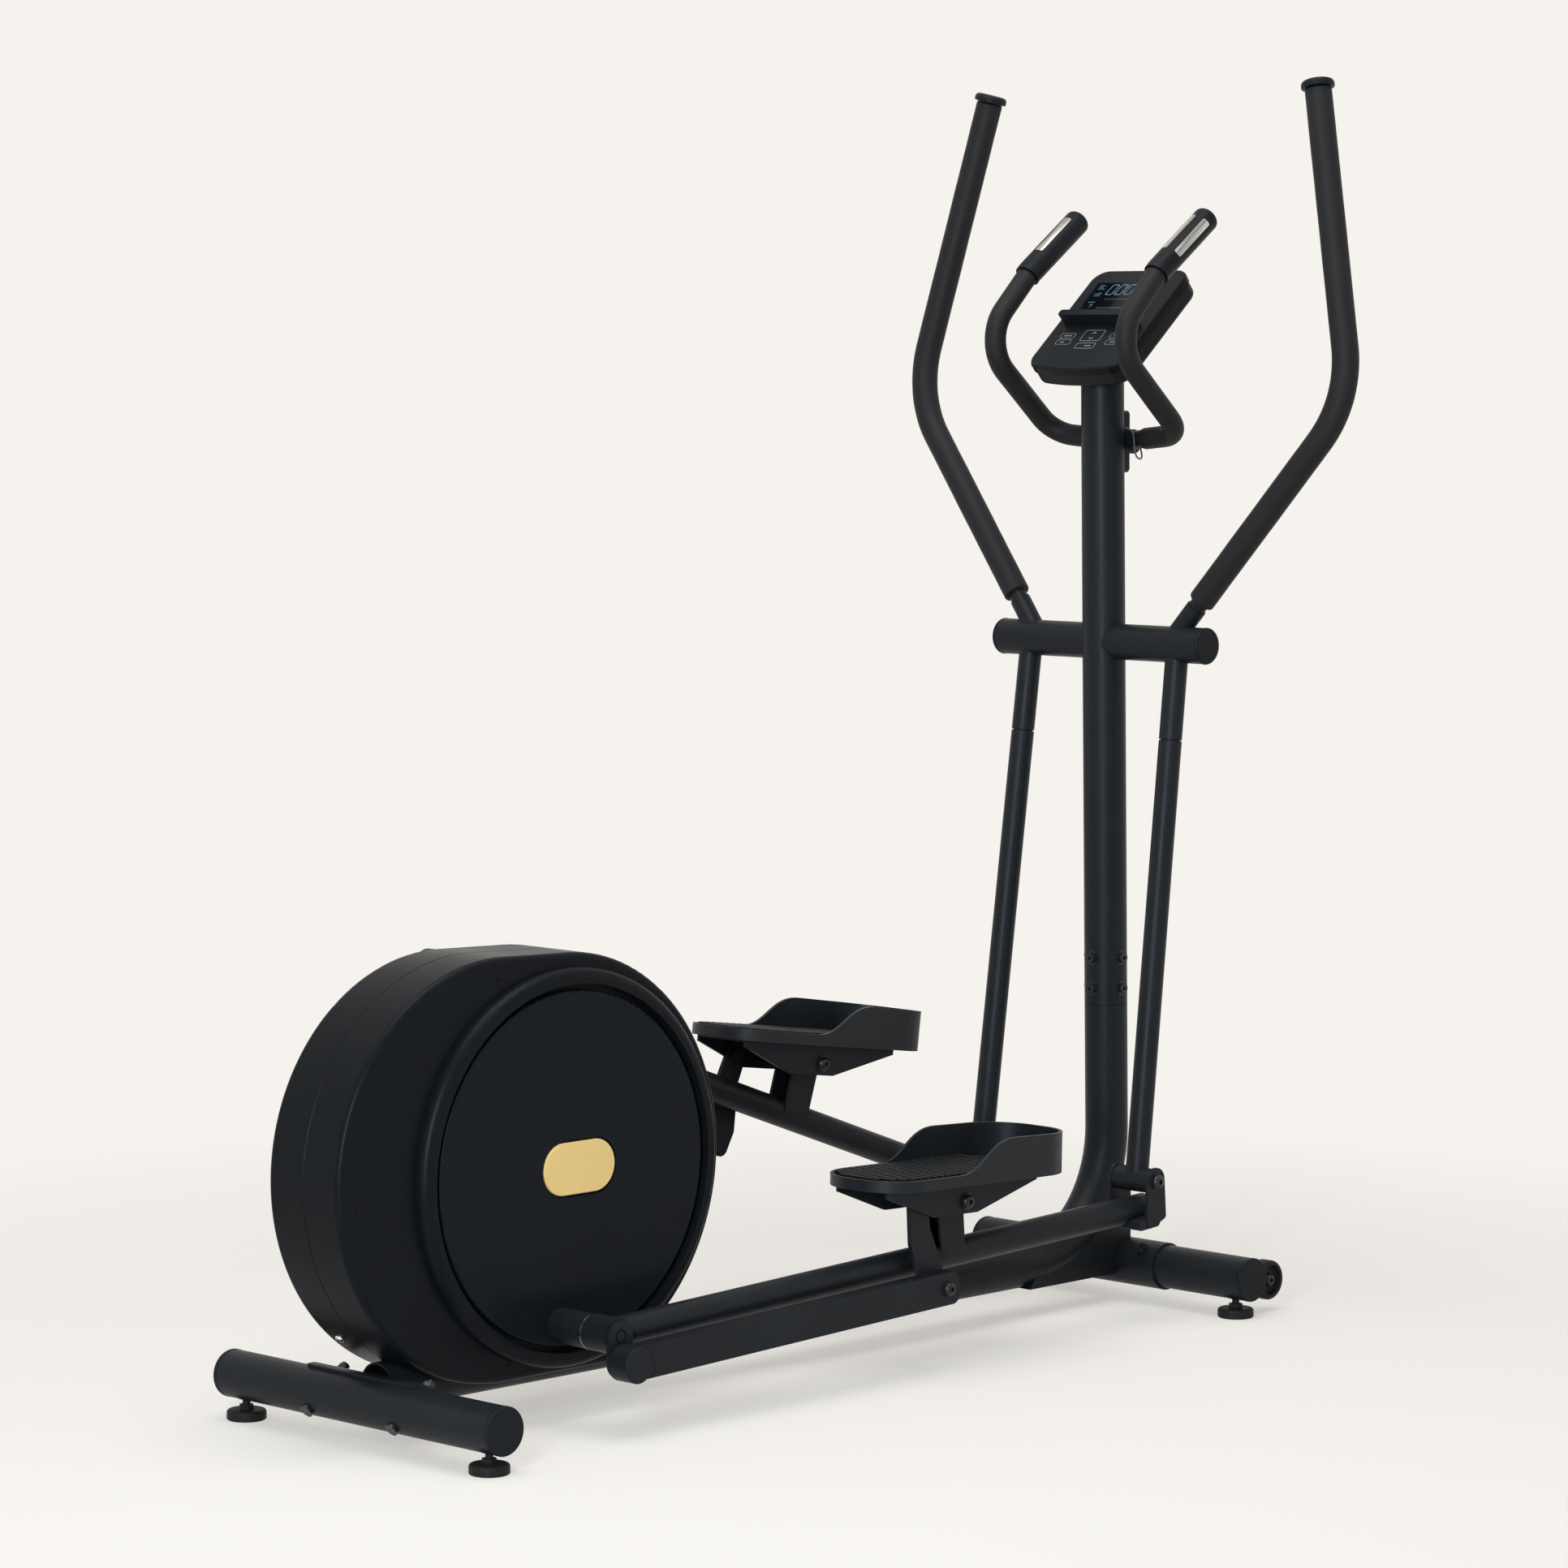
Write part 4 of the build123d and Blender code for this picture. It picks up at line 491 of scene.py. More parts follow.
def settled_piece(name, mesh, body):
    shape = bmesh.new()
    shape.from_mesh(mesh)
    bmesh.ops.remove_doubles(shape, verts=shape.verts, dist=WELD)
    bmesh.ops.recalc_face_normals(shape, faces=shape.faces)
    shape.to_mesh(mesh)
    shape.free()
    mesh.shade_smooth()
    mesh.set_sharp_from_angle(angle=CREASE)
    piece = in_scene(name, mesh)
    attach(piece, body)
    return piece


def grown_piece(name, tree, source, sizes, body, roll=0.0):
    # Grows a tree's shape on a source mesh and keeps the plain mesh; roll rounds its sharp ends
    holder = in_scene(name + "_source", source)
    grow = holder.modifiers.new("grow", "NODES")
    grow.node_group = tree
    for item in tree.interface.items_tree:
        if item.item_type == "SOCKET" and item.in_out == "INPUT" and item.name in sizes:
            grow[item.identifier] = sizes[item.name]
    if roll:
        ends = holder.modifiers.new("rolled_ends", "BEVEL")
        ends.width = roll
        ends.segments = 4
        ends.limit_method = "ANGLE"
        ends.angle_limit = ROLL_FROM
    bpy.context.view_layer.update()
    shown = holder.evaluated_get(bpy.context.evaluated_depsgraph_get())
    mesh = bpy.data.meshes.new_from_object(shown)
    mesh.name = name
    holder.modifiers.clear()
    bpy.data.objects.remove(holder)
    return settled_piece(name, mesh, body)


def finish_tree(tree, geometry, finish, result):
    whole = step(tree, "GeometryNodeRealizeInstances", {"Geometry": geometry})
    painted = step(tree, "GeometryNodeSetMaterial", {"Geometry": whole.outputs[0], "Material": finish})
    feed(tree, result["Geometry"], painted.outputs[0])


GEOMETRY_OUT = [("Geometry", "Geometry")]
BEND_STEPS = 16


def foam_sleeve_tree():
    # A soft tube along a bent line, rounded at each corner by its own bend, a little lumpy
    inputs = [
        ("Geometry", "Geometry", None),
        ("Outer radius", "Float", 0.0185),
        ("Step", "Float", 0.005),
        ("Sides", "Int", 40),
        ("Lump", "Float", 0.0004),
        ("Finish", "Material", None),
    ]
    tree, given, result = new_tree("foam_sleeve", "GeometryNodeTree", inputs, GEOMETRY_OUT)
    line = step(tree, "GeometryNodeMeshToCurve", {"Mesh": given["Geometry"]})
    bend = step(tree, "GeometryNodeInputNamedAttribute", {"Name": "bend"}, data_type="FLOAT")
    corners = {"Curve": line.outputs[0], "Radius": bend.outputs[0], "Count": BEND_STEPS}
    rounded = step(tree, "GeometryNodeFilletCurve", corners, mode="POLY")
    spacing = {"Curve": rounded.outputs[0], "Length": given["Step"]}
    even = step(tree, "GeometryNodeResampleCurve", spacing, mode="LENGTH")
    section = {"Resolution": given["Sides"], "Radius": given["Outer radius"]}
    girth = step(tree, "GeometryNodeCurvePrimitiveCircle", section)
    swept = {"Curve": even.outputs[0], "Profile Curve": girth.outputs[0], "Fill Caps": True}
    skin = step(tree, "GeometryNodeCurveToMesh", swept)
    where = add_node(tree, "GeometryNodeInputPosition").outputs[0]
    swell = maths(tree, "SUBTRACT", noise(tree, where, scale=26.0, detail=2.0), 0.5)
    swell = maths(tree, "MULTIPLY", swell, given["Lump"])
    outward = add_node(tree, "GeometryNodeInputNormal").outputs[0]
    push = step(tree, "ShaderNodeVectorMath", {0: outward, "Scale": swell}, operation="SCALE")
    soft = step(tree, "GeometryNodeSetPosition", {"Geometry": skin.outputs[0], "Offset": push.outputs[0]})
    finish_tree(tree, soft.outputs[0], given["Finish"], result)
    return tree


def bent_lines(name, lines):
    # Lines of straight runs in one mesh; each corner carries the radius of its bend
    points = []
    runs = []
    bends = []
    for corners, radii in lines:
        first = len(points)
        runs += [(first + k, first + k + 1) for k in range(len(corners) - 1)]
        points += [tuple(corner) for corner in corners]
        bends += [0.0, *radii, 0.0]
    mesh = bpy.data.meshes.new(name)
    mesh.from_pydata(points, runs, [])
    mesh.attributes.new("bend", "FLOAT", "POINT").data.foreach_set("value", bends)
    return mesh


# Foam on the swinging handles: its line is in millimetres on the upright handle, its sizes in metres
sleeve_tree = foam_sleeve_tree()
GRIP_LOW = (0, -120.0, 0)
GRIP_BEND = (0, -398.0, 340.6)
GRIP_TOP = (-5.5, -299.5, 766.0)
GRIP_START = 78.0
GRIP_END = 3.0
GRIP_ROUND = 0.150
GRIP_ROLL = 0.0028
GRIP_SIZES = {"Outer radius": 0.0185, "Step": 0.006, "Sides": 44, "Lump": 0.0006, "Finish": grip_foam}
for side in SIDES:
    corners = [along(GRIP_LOW, GRIP_BEND, GRIP_START), GRIP_BEND, along(GRIP_TOP, GRIP_BEND, GRIP_END)]
    line = bent_lines("grip_line", [([on_handle(c, side) for c in corners], [GRIP_ROUND])])
    body = f"{side}_handle"
    foam = grown_piece(f"{side}_grip_sleeve", sleeve_tree, line, GRIP_SIZES, body, GRIP_ROLL)
    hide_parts(f"{side}_handle_foam")

# Foam on the two arms of the fixed handlebar, one line for each
BAR_START = 0.0064
BAR_END = 0.046
BAR_ROUND = [0.058, 0.038]
BAR_ROLL = 0.0016
BAR_SIZES = {"Outer radius": 0.015, "Step": 0.005, "Sides": 40, "Lump": 0.0004, "Finish": grip_foam}
bar_corners = [along(KNEE, ELBOW, BAR_START), ELBOW, WRIST, along(BAR_CENTRE, WRIST, BAR_END)]
bar_arms = [([(c.x, c.y * flip, c.z) for c in bar_corners], BAR_ROUND) for flip in (1, -1)]
bar_line = bent_lines("bar_line", bar_arms)
bar_foam = grown_piece("handlebar_sleeves", sleeve_tree, bar_line, BAR_SIZES, "base", BAR_ROLL)
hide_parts("handlebar_foam")


def turned_shape(tree, rings, sides):
    # A turned solid: each ring has a radius, a height, and 1 where it is six-sided like a key socket
    size = {"Size X": 1.0, "Size Y": 1.0, "Vertices X": sides + 1, "Vertices Y": len(rings)}
    grid = step(tree, "GeometryNodeMeshGrid", size)
    where = add_node(tree, "GeometryNodeInputPosition").outputs[0]
    spot = step(tree, "ShaderNodeSeparateXYZ", {0: where})
    turn = maths(tree, "MULTIPLY", maths(tree, "ADD", spot.outputs["X"], 0.5), 2 * pi)
    row = maths(tree, "MULTIPLY", maths(tree, "ADD", spot.outputs["Y"], 0.5), len(rings) - 1)
    row = maths(tree, "ROUND", row)
    columns = []
    for column in range(3):
        table = add_node(tree, "GeometryNodeIndexSwitch", data_type="FLOAT")
        while len(table.index_switch_items) < len(rings):
            table.index_switch_items.new()
        feed(tree, table.inputs[0], row)
        for k, ring in enumerate(rings):
            feed(tree, table.inputs[k + 1], ring[column])
        columns.append(table.outputs[0])
    radius, height, six = columns
    within = maths(tree, "SUBTRACT", maths(tree, "MODULO", turn, pi / 3), pi / 6)
    flats = maths(tree, "DIVIDE", cos(pi / 6), maths(tree, "COSINE", within))
    flats = maths(tree, "SUBTRACT", flats, 1.0)
    reach = maths(tree, "ADD", maths(tree, "MULTIPLY", flats, six), 1.0)
    reach = maths(tree, "MULTIPLY", radius, reach)
    across = maths(tree, "MULTIPLY", reach, maths(tree, "COSINE", turn))
    deep = maths(tree, "MULTIPLY", reach, maths(tree, "SINE", turn))
    place = step(tree, "ShaderNodeCombineXYZ", {0: across, 1: deep, 2: height}).outputs[0]
    shaped = step(tree, "GeometryNodeSetPosition", {"Geometry": grid.outputs["Mesh"], "Position": place})
    welded = {"Geometry": shaped.outputs[0], "Distance": WELD}
    return step(tree, "GeometryNodeMergeByDistance", welded).outputs[0]


def set_on_marks(tree, shape, given, result):
    # One copy of the shape on every mark, its own Z along the mark's axis
    axis = step(tree, "GeometryNodeInputNamedAttribute", {"Name": "axis"}, data_type="FLOAT_VECTOR")
    size = step(tree, "GeometryNodeInputNamedAttribute", {"Name": "size"}, data_type="FLOAT")
    turned = step(tree, "FunctionNodeAlignRotationToVector", {"Vector": axis.outputs[0]}, axis="Z")
    placed = {
        "Points": given["Geometry"],
        "Instance": shape,
        "Rotation": turned.outputs[0],
        "Scale": size.outputs[0],
    }
    copies = step(tree, "GeometryNodeInstanceOnPoints", placed)
    finish_tree(tree, copies.outputs[0], given["Finish"], result)


def marks(name, places):
    # Points that carry an axis and a size
    mesh = bpy.data.meshes.new(name)
    mesh.from_pydata([tuple(spot) for spot, axis, size in places], [], [])
    axes = [c for spot, axis, size in places for c in Vector(axis).normalized()]
    shares = [size for spot, axis, size in places]
    mesh.attributes.new("axis", "FLOAT_VECTOR", "POINT").data.foreach_set("vector", axes)
    mesh.attributes.new("size", "FLOAT", "POINT").data.foreach_set("value", shares)
    return mesh


# Outlines from the middle outwards, as shares of a radius and a height
BUTTON_DOME = (
    (0.5, 1.0),
    (0.62, 0.955),
    (0.74, 0.86),
    (0.85, 0.7),
    (0.93, 0.5),
    (0.985, 0.28),
    (1.0, 0.12),
    (1.0, 0.0),
)
PLUG_RIM = (
    (0.6, 0.3),
    (0.68, 0.0),
    (0.72, 0.0),
    (0.8, 0.85),
    (0.86, 1.0),
    (0.94, 0.75),
    (1.0, 0.0),
    (1.0, -1.0),
)
KEY_MOUTH = 0.98
PLUG_FACE = 0.35
SCREW_SIDES = 24
RING_SIDES = 48


def button_bolt_tree():
    # Button-head bolts with a key socket
    inputs = [
        ("Geometry", "Geometry", None),
        ("Head radius", "Float", 0.0098),
        ("Head height", "Float", 0.0056),
        ("Key radius", "Float", 0.0036),
        ("Key depth", "Float", 0.0034),
        ("Finish", "Material", None),
    ]
    tree, given, result = new_tree("button_bolts", "GeometryNodeTree", inputs, GEOMETRY_OUT)
    key = given["Key radius"]
    head = given["Head height"]
    key_floor = maths(tree, "SUBTRACT", head, given["Key depth"])
    key_mouth = maths(tree, "MULTIPLY", head, KEY_MOUTH)
    rings = [(0.0, key_floor, 0.0), (key, key_floor, 1.0), (key, key_mouth, 1.0)]
    for reach, height in BUTTON_DOME:
        radius = maths(tree, "MULTIPLY", given["Head radius"], reach)
        rings.append((radius, maths(tree, "MULTIPLY", head, height), 0.0))
    rings.append((0.0, 0.0, 0.0))
    set_on_marks(tree, turned_shape(tree, rings, SCREW_SIDES), given, result)
    return tree


def turned_ring_tree():
    # Washers, with the outer corner of one face rounded off
    inputs = [
        ("Geometry", "Geometry", None),
        ("Inner radius", "Float", 0.008),
        ("Outer radius", "Float", 0.0235),
        ("Wide", "Float", 0.002),
        ("Edge", "Float", 0.0005),
        ("Finish", "Material", None),
    ]
    tree, given, result = new_tree("turned_rings", "GeometryNodeTree", inputs, GEOMETRY_OUT)
    inner, outer, wide, edge = (given[label] for label in ("Inner radius", "Outer radius", "Wide", "Edge"))
    bulge = maths(tree, "MULTIPLY", edge, 0.3)
    outer_in = maths(tree, "SUBTRACT", outer, edge)
    wide_in = maths(tree, "SUBTRACT", wide, edge)
    outer_mid = maths(tree, "SUBTRACT", outer, bulge)
    wide_mid = maths(tree, "SUBTRACT", wide, bulge)
    rings = [
        (inner, 0.0, 0.0),
        (outer, 0.0, 0.0),
        (outer, wide_in, 0.0),
        (outer_mid, wide_mid, 0.0),
        (outer_in, wide, 0.0),
        (inner, wide, 0.0),
        (inner, 0.0, 0.0),
    ]
    set_on_marks(tree, turned_shape(tree, rings, RING_SIDES), given, result)
    return tree


def screw_plug_tree():
    # Screw plugs: a low rim round a sunk face
    inputs = [
        ("Geometry", "Geometry", None),
        ("Radius", "Float", 0.0062),
        ("Rim", "Float", 0.0007),
        ("Finish", "Material", None),
    ]
    tree, given, result = new_tree("screw_plugs", "GeometryNodeTree", inputs, GEOMETRY_OUT)
    rim = given["Rim"]
    rings = [(0.0, maths(tree, "MULTIPLY", rim, PLUG_FACE), 0.0)]
    for reach, height in PLUG_RIM:
        radius = maths(tree, "MULTIPLY", given["Radius"], reach)
        rings.append((radius, maths(tree, "MULTIPLY", rim, height), 0.0))
    rings.append((0.0, maths(tree, "MULTIPLY", rim, -1.0), 0.0))
    set_on_marks(tree, turned_shape(tree, rings, SCREW_SIDES), given, result)
    return tree


def tread_rib_tree():
    # Square bars across the foot tray, each as long as the tray's outline lets it be
    inputs = [
        ("Geometry", "Geometry", None),
        ("Count", "Int", 21),
        ("Pitch", "Float", 0.0128),
        ("First", "Float", -0.157),
        ("Half width", "Float", 0.0655),
        ("Heel centre", "Float", -0.107),
        ("Heel radius", "Float", 0.056),
        ("Rib wide", "Float", 0.0064),
        ("Rib high", "Float", 0.0064),
        ("Place", "Vector", None),
        ("Tilt", "Vector", None),
        ("Finish", "Material", None),
    ]
    tree, given, result = new_tree("tread_ribs", "GeometryNodeTree", inputs, GEOMETRY_OUT)
    first = step(tree, "ShaderNodeCombineXYZ", {0: given["First"]}).outputs[0]
    pitch = step(tree, "ShaderNodeCombineXYZ", {0: given["Pitch"]}).outputs[0]
    spread = {"Count": given["Count"], "Start Location": first, "Offset": pitch}
    row = step(tree, "GeometryNodeMeshLine", spread, mode="OFFSET")
    # One bar reaches 1 m to each side, so its scale across is half its length
    section = step(tree, "ShaderNodeCombineXYZ", {0: given["Rib wide"], 1: 2.0, 2: given["Rib high"]})
    bar = step(tree, "GeometryNodeMeshCube", {"Size": section.outputs[0]})
    where = add_node(tree, "GeometryNodeInputPosition").outputs[0]
    rib_x = step(tree, "ShaderNodeSeparateXYZ", {0: where}).outputs["X"]
    past = maths(tree, "MAXIMUM", maths(tree, "SUBTRACT", given["Heel centre"], rib_x), 0.0)
    heel_square = maths(tree, "POWER", given["Heel radius"], 2.0)
    square = maths(tree, "SUBTRACT", heel_square, maths(tree, "POWER", past, 2.0))
    chord = maths(tree, "SQRT", maths(tree, "MAXIMUM", square, 0.0))
    inset = maths(tree, "SUBTRACT", given["Heel radius"], chord)
    half = maths(tree, "SUBTRACT", given["Half width"], inset)
    length = step(tree, "ShaderNodeCombineXYZ", {0: 1.0, 1: half, 2: 1.0}).outputs[0]
    ribs = {"Points": row.outputs[0], "Instance": bar.outputs["Mesh"], "Scale": length}
    copies = step(tree, "GeometryNodeInstanceOnPoints", ribs).outputs[0]
    placed = {"Geometry": copies, "Translation": given["Place"], "Rotation": given["Tilt"]}
    tilted = step(tree, "GeometryNodeTransform", placed)
    finish_tree(tree, tilted.outputs[0], given["Finish"], result)
    return tree


bolt_tree = button_bolt_tree()
ring_tree = turned_ring_tree()
plug_tree = screw_plug_tree()
rib_tree = tread_rib_tree()

# Ribs in both foot trays
RIB_MID = 0.0390
RIB_ROLL = 0.0007
PEDAL_TILT = {"right": radians(1.5), "left": radians(7.9)}
for side, tilt in PEDAL_TILT.items():
    pin = Vector(joint_at[f"{side}_pedal_tilt"])
    lift = Vector((RIB_MID * sin(tilt), 0, RIB_MID * cos(tilt)))
    sizes = {"Place": pin + lift, "Tilt": (0.0, tilt, 0.0), "Finish": tread_plastic}
    blank = bpy.data.meshes.new("tray_ribs")
    grown_piece(f"{side}_tread_ribs", rib_tree, blank, sizes, f"{side}_tread", RIB_ROLL)

# Bolts, each set on the body that carries its pin, with its size as a share of the largest head
HEAD = {"Head radius": 0.0098, "Head height": 0.0056, "Key radius": 0.0036, "Key depth": 0.0034}
HEAD["Finish"] = black_bolt


def bolts(name, places, body):
    grown_piece(name, bolt_tree, marks(name, places), HEAD, body)


HINGE_OUT = 0.1828
PIN_OUTER = 0.1983
PIN_INNER = 0.1017
LINK_OUT = 0.214
LINK_FOOT = {"right": (0.12514, 0.11369), "left": (0.10229, 0.27066)}
LINK_SIZE = 0.95
# Bolts in the sockets of the handles, in millimetres on the upright handle
SOCKET_BOLTS = (65.5, 106.0)
SOCKET_FRONT = 15.7
SOCKET_SIDE = -134.4
SOCKET_SPLAY = 0.0137
SOCKET_SIZE = 0.56
for side, out in SIDES.items():
    outward = Vector((0, out, 0))
    hinge = Vector(joint_at[f"{side}_arm_pitch"])
    pin = Vector(joint_at[f"{side}_pedal_tilt"])
    arm_bolts = [
        ((hinge.x, out * HINGE_OUT, hinge.z), outward, 1.0),
        ((pin.x, out * PIN_OUTER, pin.z), outward, 1.0),
        ((pin.x, out * PIN_INNER, pin.z), -outward, 1.0),
    ]
    bolts(f"{side}_arm_bolts", arm_bolts, f"{side}_arm")
    link_x, link_z = LINK_FOOT[side]
    bolts(f"{side}_link_bolt", [((link_x, out * LINK_OUT, link_z), outward, LINK_SIZE)], f"{side}_link")
    forward = on_handle((1000, 0, 0), side) - on_handle((0, 0, 0), side)
    socket_bolts = []
    for drop in SOCKET_BOLTS:
        spot = on_handle((SOCKET_FRONT, SOCKET_SIDE - SOCKET_SPLAY * drop, -drop), side)
        socket_bolts.append((spot, forward, SOCKET_SIZE))
    bolts(f"{side}_socket_bolts", socket_bolts, f"{side}_handle")
WHEEL_OUT = 0.2296
WHEEL_SIZE = 0.86
wheel_bolts = []
for side, out in SIDES.items():
    wheel = Vector(joint_at[f"{side}_roller_spin"])
    wheel_bolts.append(((wheel.x, out * WHEEL_OUT, wheel.z), (0, out, 0), WHEEL_SIZE))
bolts("wheel_bolts", wheel_bolts, "base")

# Steel washers between the crank arms and the eyes of the pedal tubes
CRANK_ARM = 0.196
WASHER_IN = 0.1376
WASHER_SIZES = {
    "Inner radius": 0.0125,
    "Outer radius": 0.0229,
    "Wide": 0.0024,
    "Edge": 0.0007,
    "Finish": washer_steel,
}


def crank_eye(out):
    # At rest the cranks stand square to the line from their axle to the front hinge
    axle = Vector(joint_at["crank_spin"])
    hinge = Vector(joint_at["right_arm_pitch"])
    ahead = Vector((hinge.x - axle.x, hinge.z - axle.z)).normalized()
    return axle.x - out * CRANK_ARM * ahead.y, axle.z + out * CRANK_ARM * ahead.x


for side, out in SIDES.items():
    eye_x, eye_z = crank_eye(out)
    eye = marks("eye_washer", [((eye_x, out * WASHER_IN, eye_z), (0, out, 0), 1.0)])
    grown_piece(f"{side}_eye_washer", ring_tree, eye, WASHER_SIZES, f"{side}_arm")

# Screw plugs in both sides of the drum, one screw at its back, and the screws under the console
HOUSING_SIDE = 0.066
PLUGS = ((-0.5302, 0.5685), (-0.7635, 0.3081), (-0.5198, 0.0802))
PLUG_SIZES = {"Radius": 0.0062, "Rim": 0.0008, "Finish": housing_plastic}
plugs = [((x, out * HOUSING_SIDE, z), (0, out, 0), 1.0) for out in SIDES.values() for x, z in PLUGS]
plug_marks = marks("housing_plugs", plugs)
grown_piece("housing_plugs", plug_tree, plug_marks, PLUG_SIZES, "base")
DRUM_SCREW_AT = (-0.7007, 0.040, 0.1280)
DRUM_SCREW_AXIS = (-0.656, 0.0, -0.755)
DRUM_SCREW_SIZE = 0.62
drum_screw = marks("drum_screw", [(DRUM_SCREW_AT, DRUM_SCREW_AXIS, DRUM_SCREW_SIZE)])
grown_piece("drum_screw", bolt_tree, drum_screw, {**HEAD, "Finish": chrome}, "base")
UNDER = -37.0
UNDER_ACROSS = (-52, 52)
UNDER_UP = (-70, 74)
UNDER_SIZE = 0.55
under_spots = [on_console(x, y, UNDER) for x in UNDER_ACROSS for y in UNDER_UP]
bolts("console_screws", [(spot, -CONSOLE_OUT, UNDER_SIZE) for spot in under_spots], "base")


# Console face: printed keys, the display's marks, and the gloss band round the edge
def rounded_loop(wide, high, radius, at):
    loop = []
    for across, up, start in ((1, 1, 0), (-1, 1, 90), (-1, -1, 180), (1, -1, 270)):
        for k in range(6):
            turn = radians(start + 18 * k)
            x = across * (wide / 2 - radius) + radius * cos(turn)
            y = up * (high / 2 - radius) + radius * sin(turn)
            loop.append((at[0] + x, at[1] + y))
    return loop


INNER_CORNER = 0.9
STROKE_PAST = 0.3


class FaceMarks:
    # Shapes on the console's face, all from one height to another, kept as one mesh
    def __init__(self, low, top):
        self.low = low
        self.top = top
        self.verts = []
        self.faces = []

    def ring(self, outer, inner):
        first = len(self.verts)
        count = len(outer)
        for loop, out in ((outer, self.low), (outer, self.top), (inner, self.top), (inner, self.low)):
            self.verts += [on_console(x, y, out) for x, y in loop]
        for r in range(4):
            for k in range(count):
                here = first + r * count
                there = first + (r + 1) % 4 * count
                self.faces.append((here + k, here + (k + 1) % count, there + (k + 1) % count, there + k))

    def outline(self, wide, high, radius, at, stroke):
        inner = rounded_loop(wide - 2 * stroke, high - 2 * stroke, radius - stroke * INNER_CORNER, at)
        self.ring(rounded_loop(wide, high, radius, at), inner)

    def patch(self, loop):
        first = len(self.verts)
        count = len(loop)
        self.verts += [on_console(x, y, out) for out in (self.low, self.top) for x, y in loop]
        self.faces.append(tuple(range(first, first + count)))
        self.faces.append(tuple(range(first + count, first + 2 * count)))
        for k in range(count):
            j = (k + 1) % count
            self.faces.append((first + k, first + j, first + count + j, first + count + k))

    def stroke(self, a, b, wide):
        run = Vector((b[0] - a[0], b[1] - a[1])).normalized()
        side = Vector((-run.y, run.x)) * (wide / 2)
        a = Vector(a) - run * (wide * STROKE_PAST)
        b = Vector(b) + run * (wide * STROKE_PAST)
        self.patch([tuple(a + side), tuple(a - side), tuple(b - side), tuple(b + side)])

    def piece(self, name, finish, slot):
        mesh = bpy.data.meshes.new(name)
        mesh.from_pydata([tuple(v) for v in self.verts], [], self.faces)
        mesh.materials.append(finish)
        return settled_piece(name, mesh, "base")


# Keys: an arrow key, a wide one below it and two small ones at each side, with dashes for print
keys = FaceMarks(low=-0.3, top=0.12)
KEY_MID = -2.5
KEY_STROKE = 0.65
SMALL_KEY_STROKE = 0.5
ARROW_STROKE = 1.0
ARROW_HALF = 3.6
DASH_STROKE = 1.3
ARROW_KEY = {"wide": 36.0, "high": 22.5, "radius": 3.2}
WIDE_KEY = {"wide": 34.5, "high": 11.7, "radius": 2.6}
SMALL_KEY = {"wide": 26.2, "high": 10.0, "radius": 2.4}
ARROW_KEY_Y = -39.2
WIDE_KEY_Y = -60.5
SMALL_KEYS_X = (-47.5, 43.0)
UPPER_KEYS = -39.6
LOWER_KEYS = -53.0
ARROWS = ((-33.4, 3.0), (-45.0, -3.0))
keys.outline(**ARROW_KEY, at=(KEY_MID, ARROW_KEY_Y), stroke=KEY_STROKE)
keys.outline(**WIDE_KEY, at=(KEY_MID, WIDE_KEY_Y), stroke=KEY_STROKE)
for x in SMALL_KEYS_X:
    for y in (UPPER_KEYS, LOWER_KEYS):
        keys.outline(**SMALL_KEY, at=(x, y), stroke=SMALL_KEY_STROKE)
for y, point in ARROWS:
    keys.stroke((KEY_MID - ARROW_HALF, y - point / 2), (KEY_MID, y + point / 2), ARROW_STROKE)
    keys.stroke((KEY_MID, y + point / 2), (KEY_MID + ARROW_HALF, y - point / 2), ARROW_STROKE)
KEY_DASHES = (
    (-50, UPPER_KEYS, 7.0),
    (-42.5, UPPER_KEYS, 4.0),
    (-50, LOWER_KEYS, 6.0),
    (41.0, UPPER_KEYS, 8.0),
    (43.0, LOWER_KEYS, 9.0),
    (2.0, WIDE_KEY_Y, 11.0),
)
for x, y, long in KEY_DASHES:
    keys.stroke((x - long / 2, y), (x + long / 2, y), DASH_STROKE)
keys.piece("console_keys", key_print, "black_plastic")

# Display: four slanted segment figures, small bars and lines
SEGMENT = 1.6
SEGMENT_GAP = 0.35
FIGURE_FIRST = -37.0
FIGURE_PITCH = 16.5
FIGURE_WIDE = 13.0
FIGURE_HIGH = 20.5
FIGURE_MID = 58.5
FIGURE_LEAN = 0.16
display = FaceMarks(low=-0.4, top=0.1)


def segment(start, end):
    # One mitred bar of a figure, leaning with the rest
    a = Vector(start)
    b = Vector(end)
    run = (b - a).normalized()
    side = Vector((-run.y, run.x)) * (SEGMENT / 2)
    a += run * SEGMENT_GAP
    b -= run * SEGMENT_GAP
    tip = run * (SEGMENT / 2)
    loop = [a, a + tip + side, b - tip + side, b, b - tip - side, a + tip - side]
    display.patch([(p.x + FIGURE_LEAN * (p.y - FIGURE_MID), p.y) for p in loop])


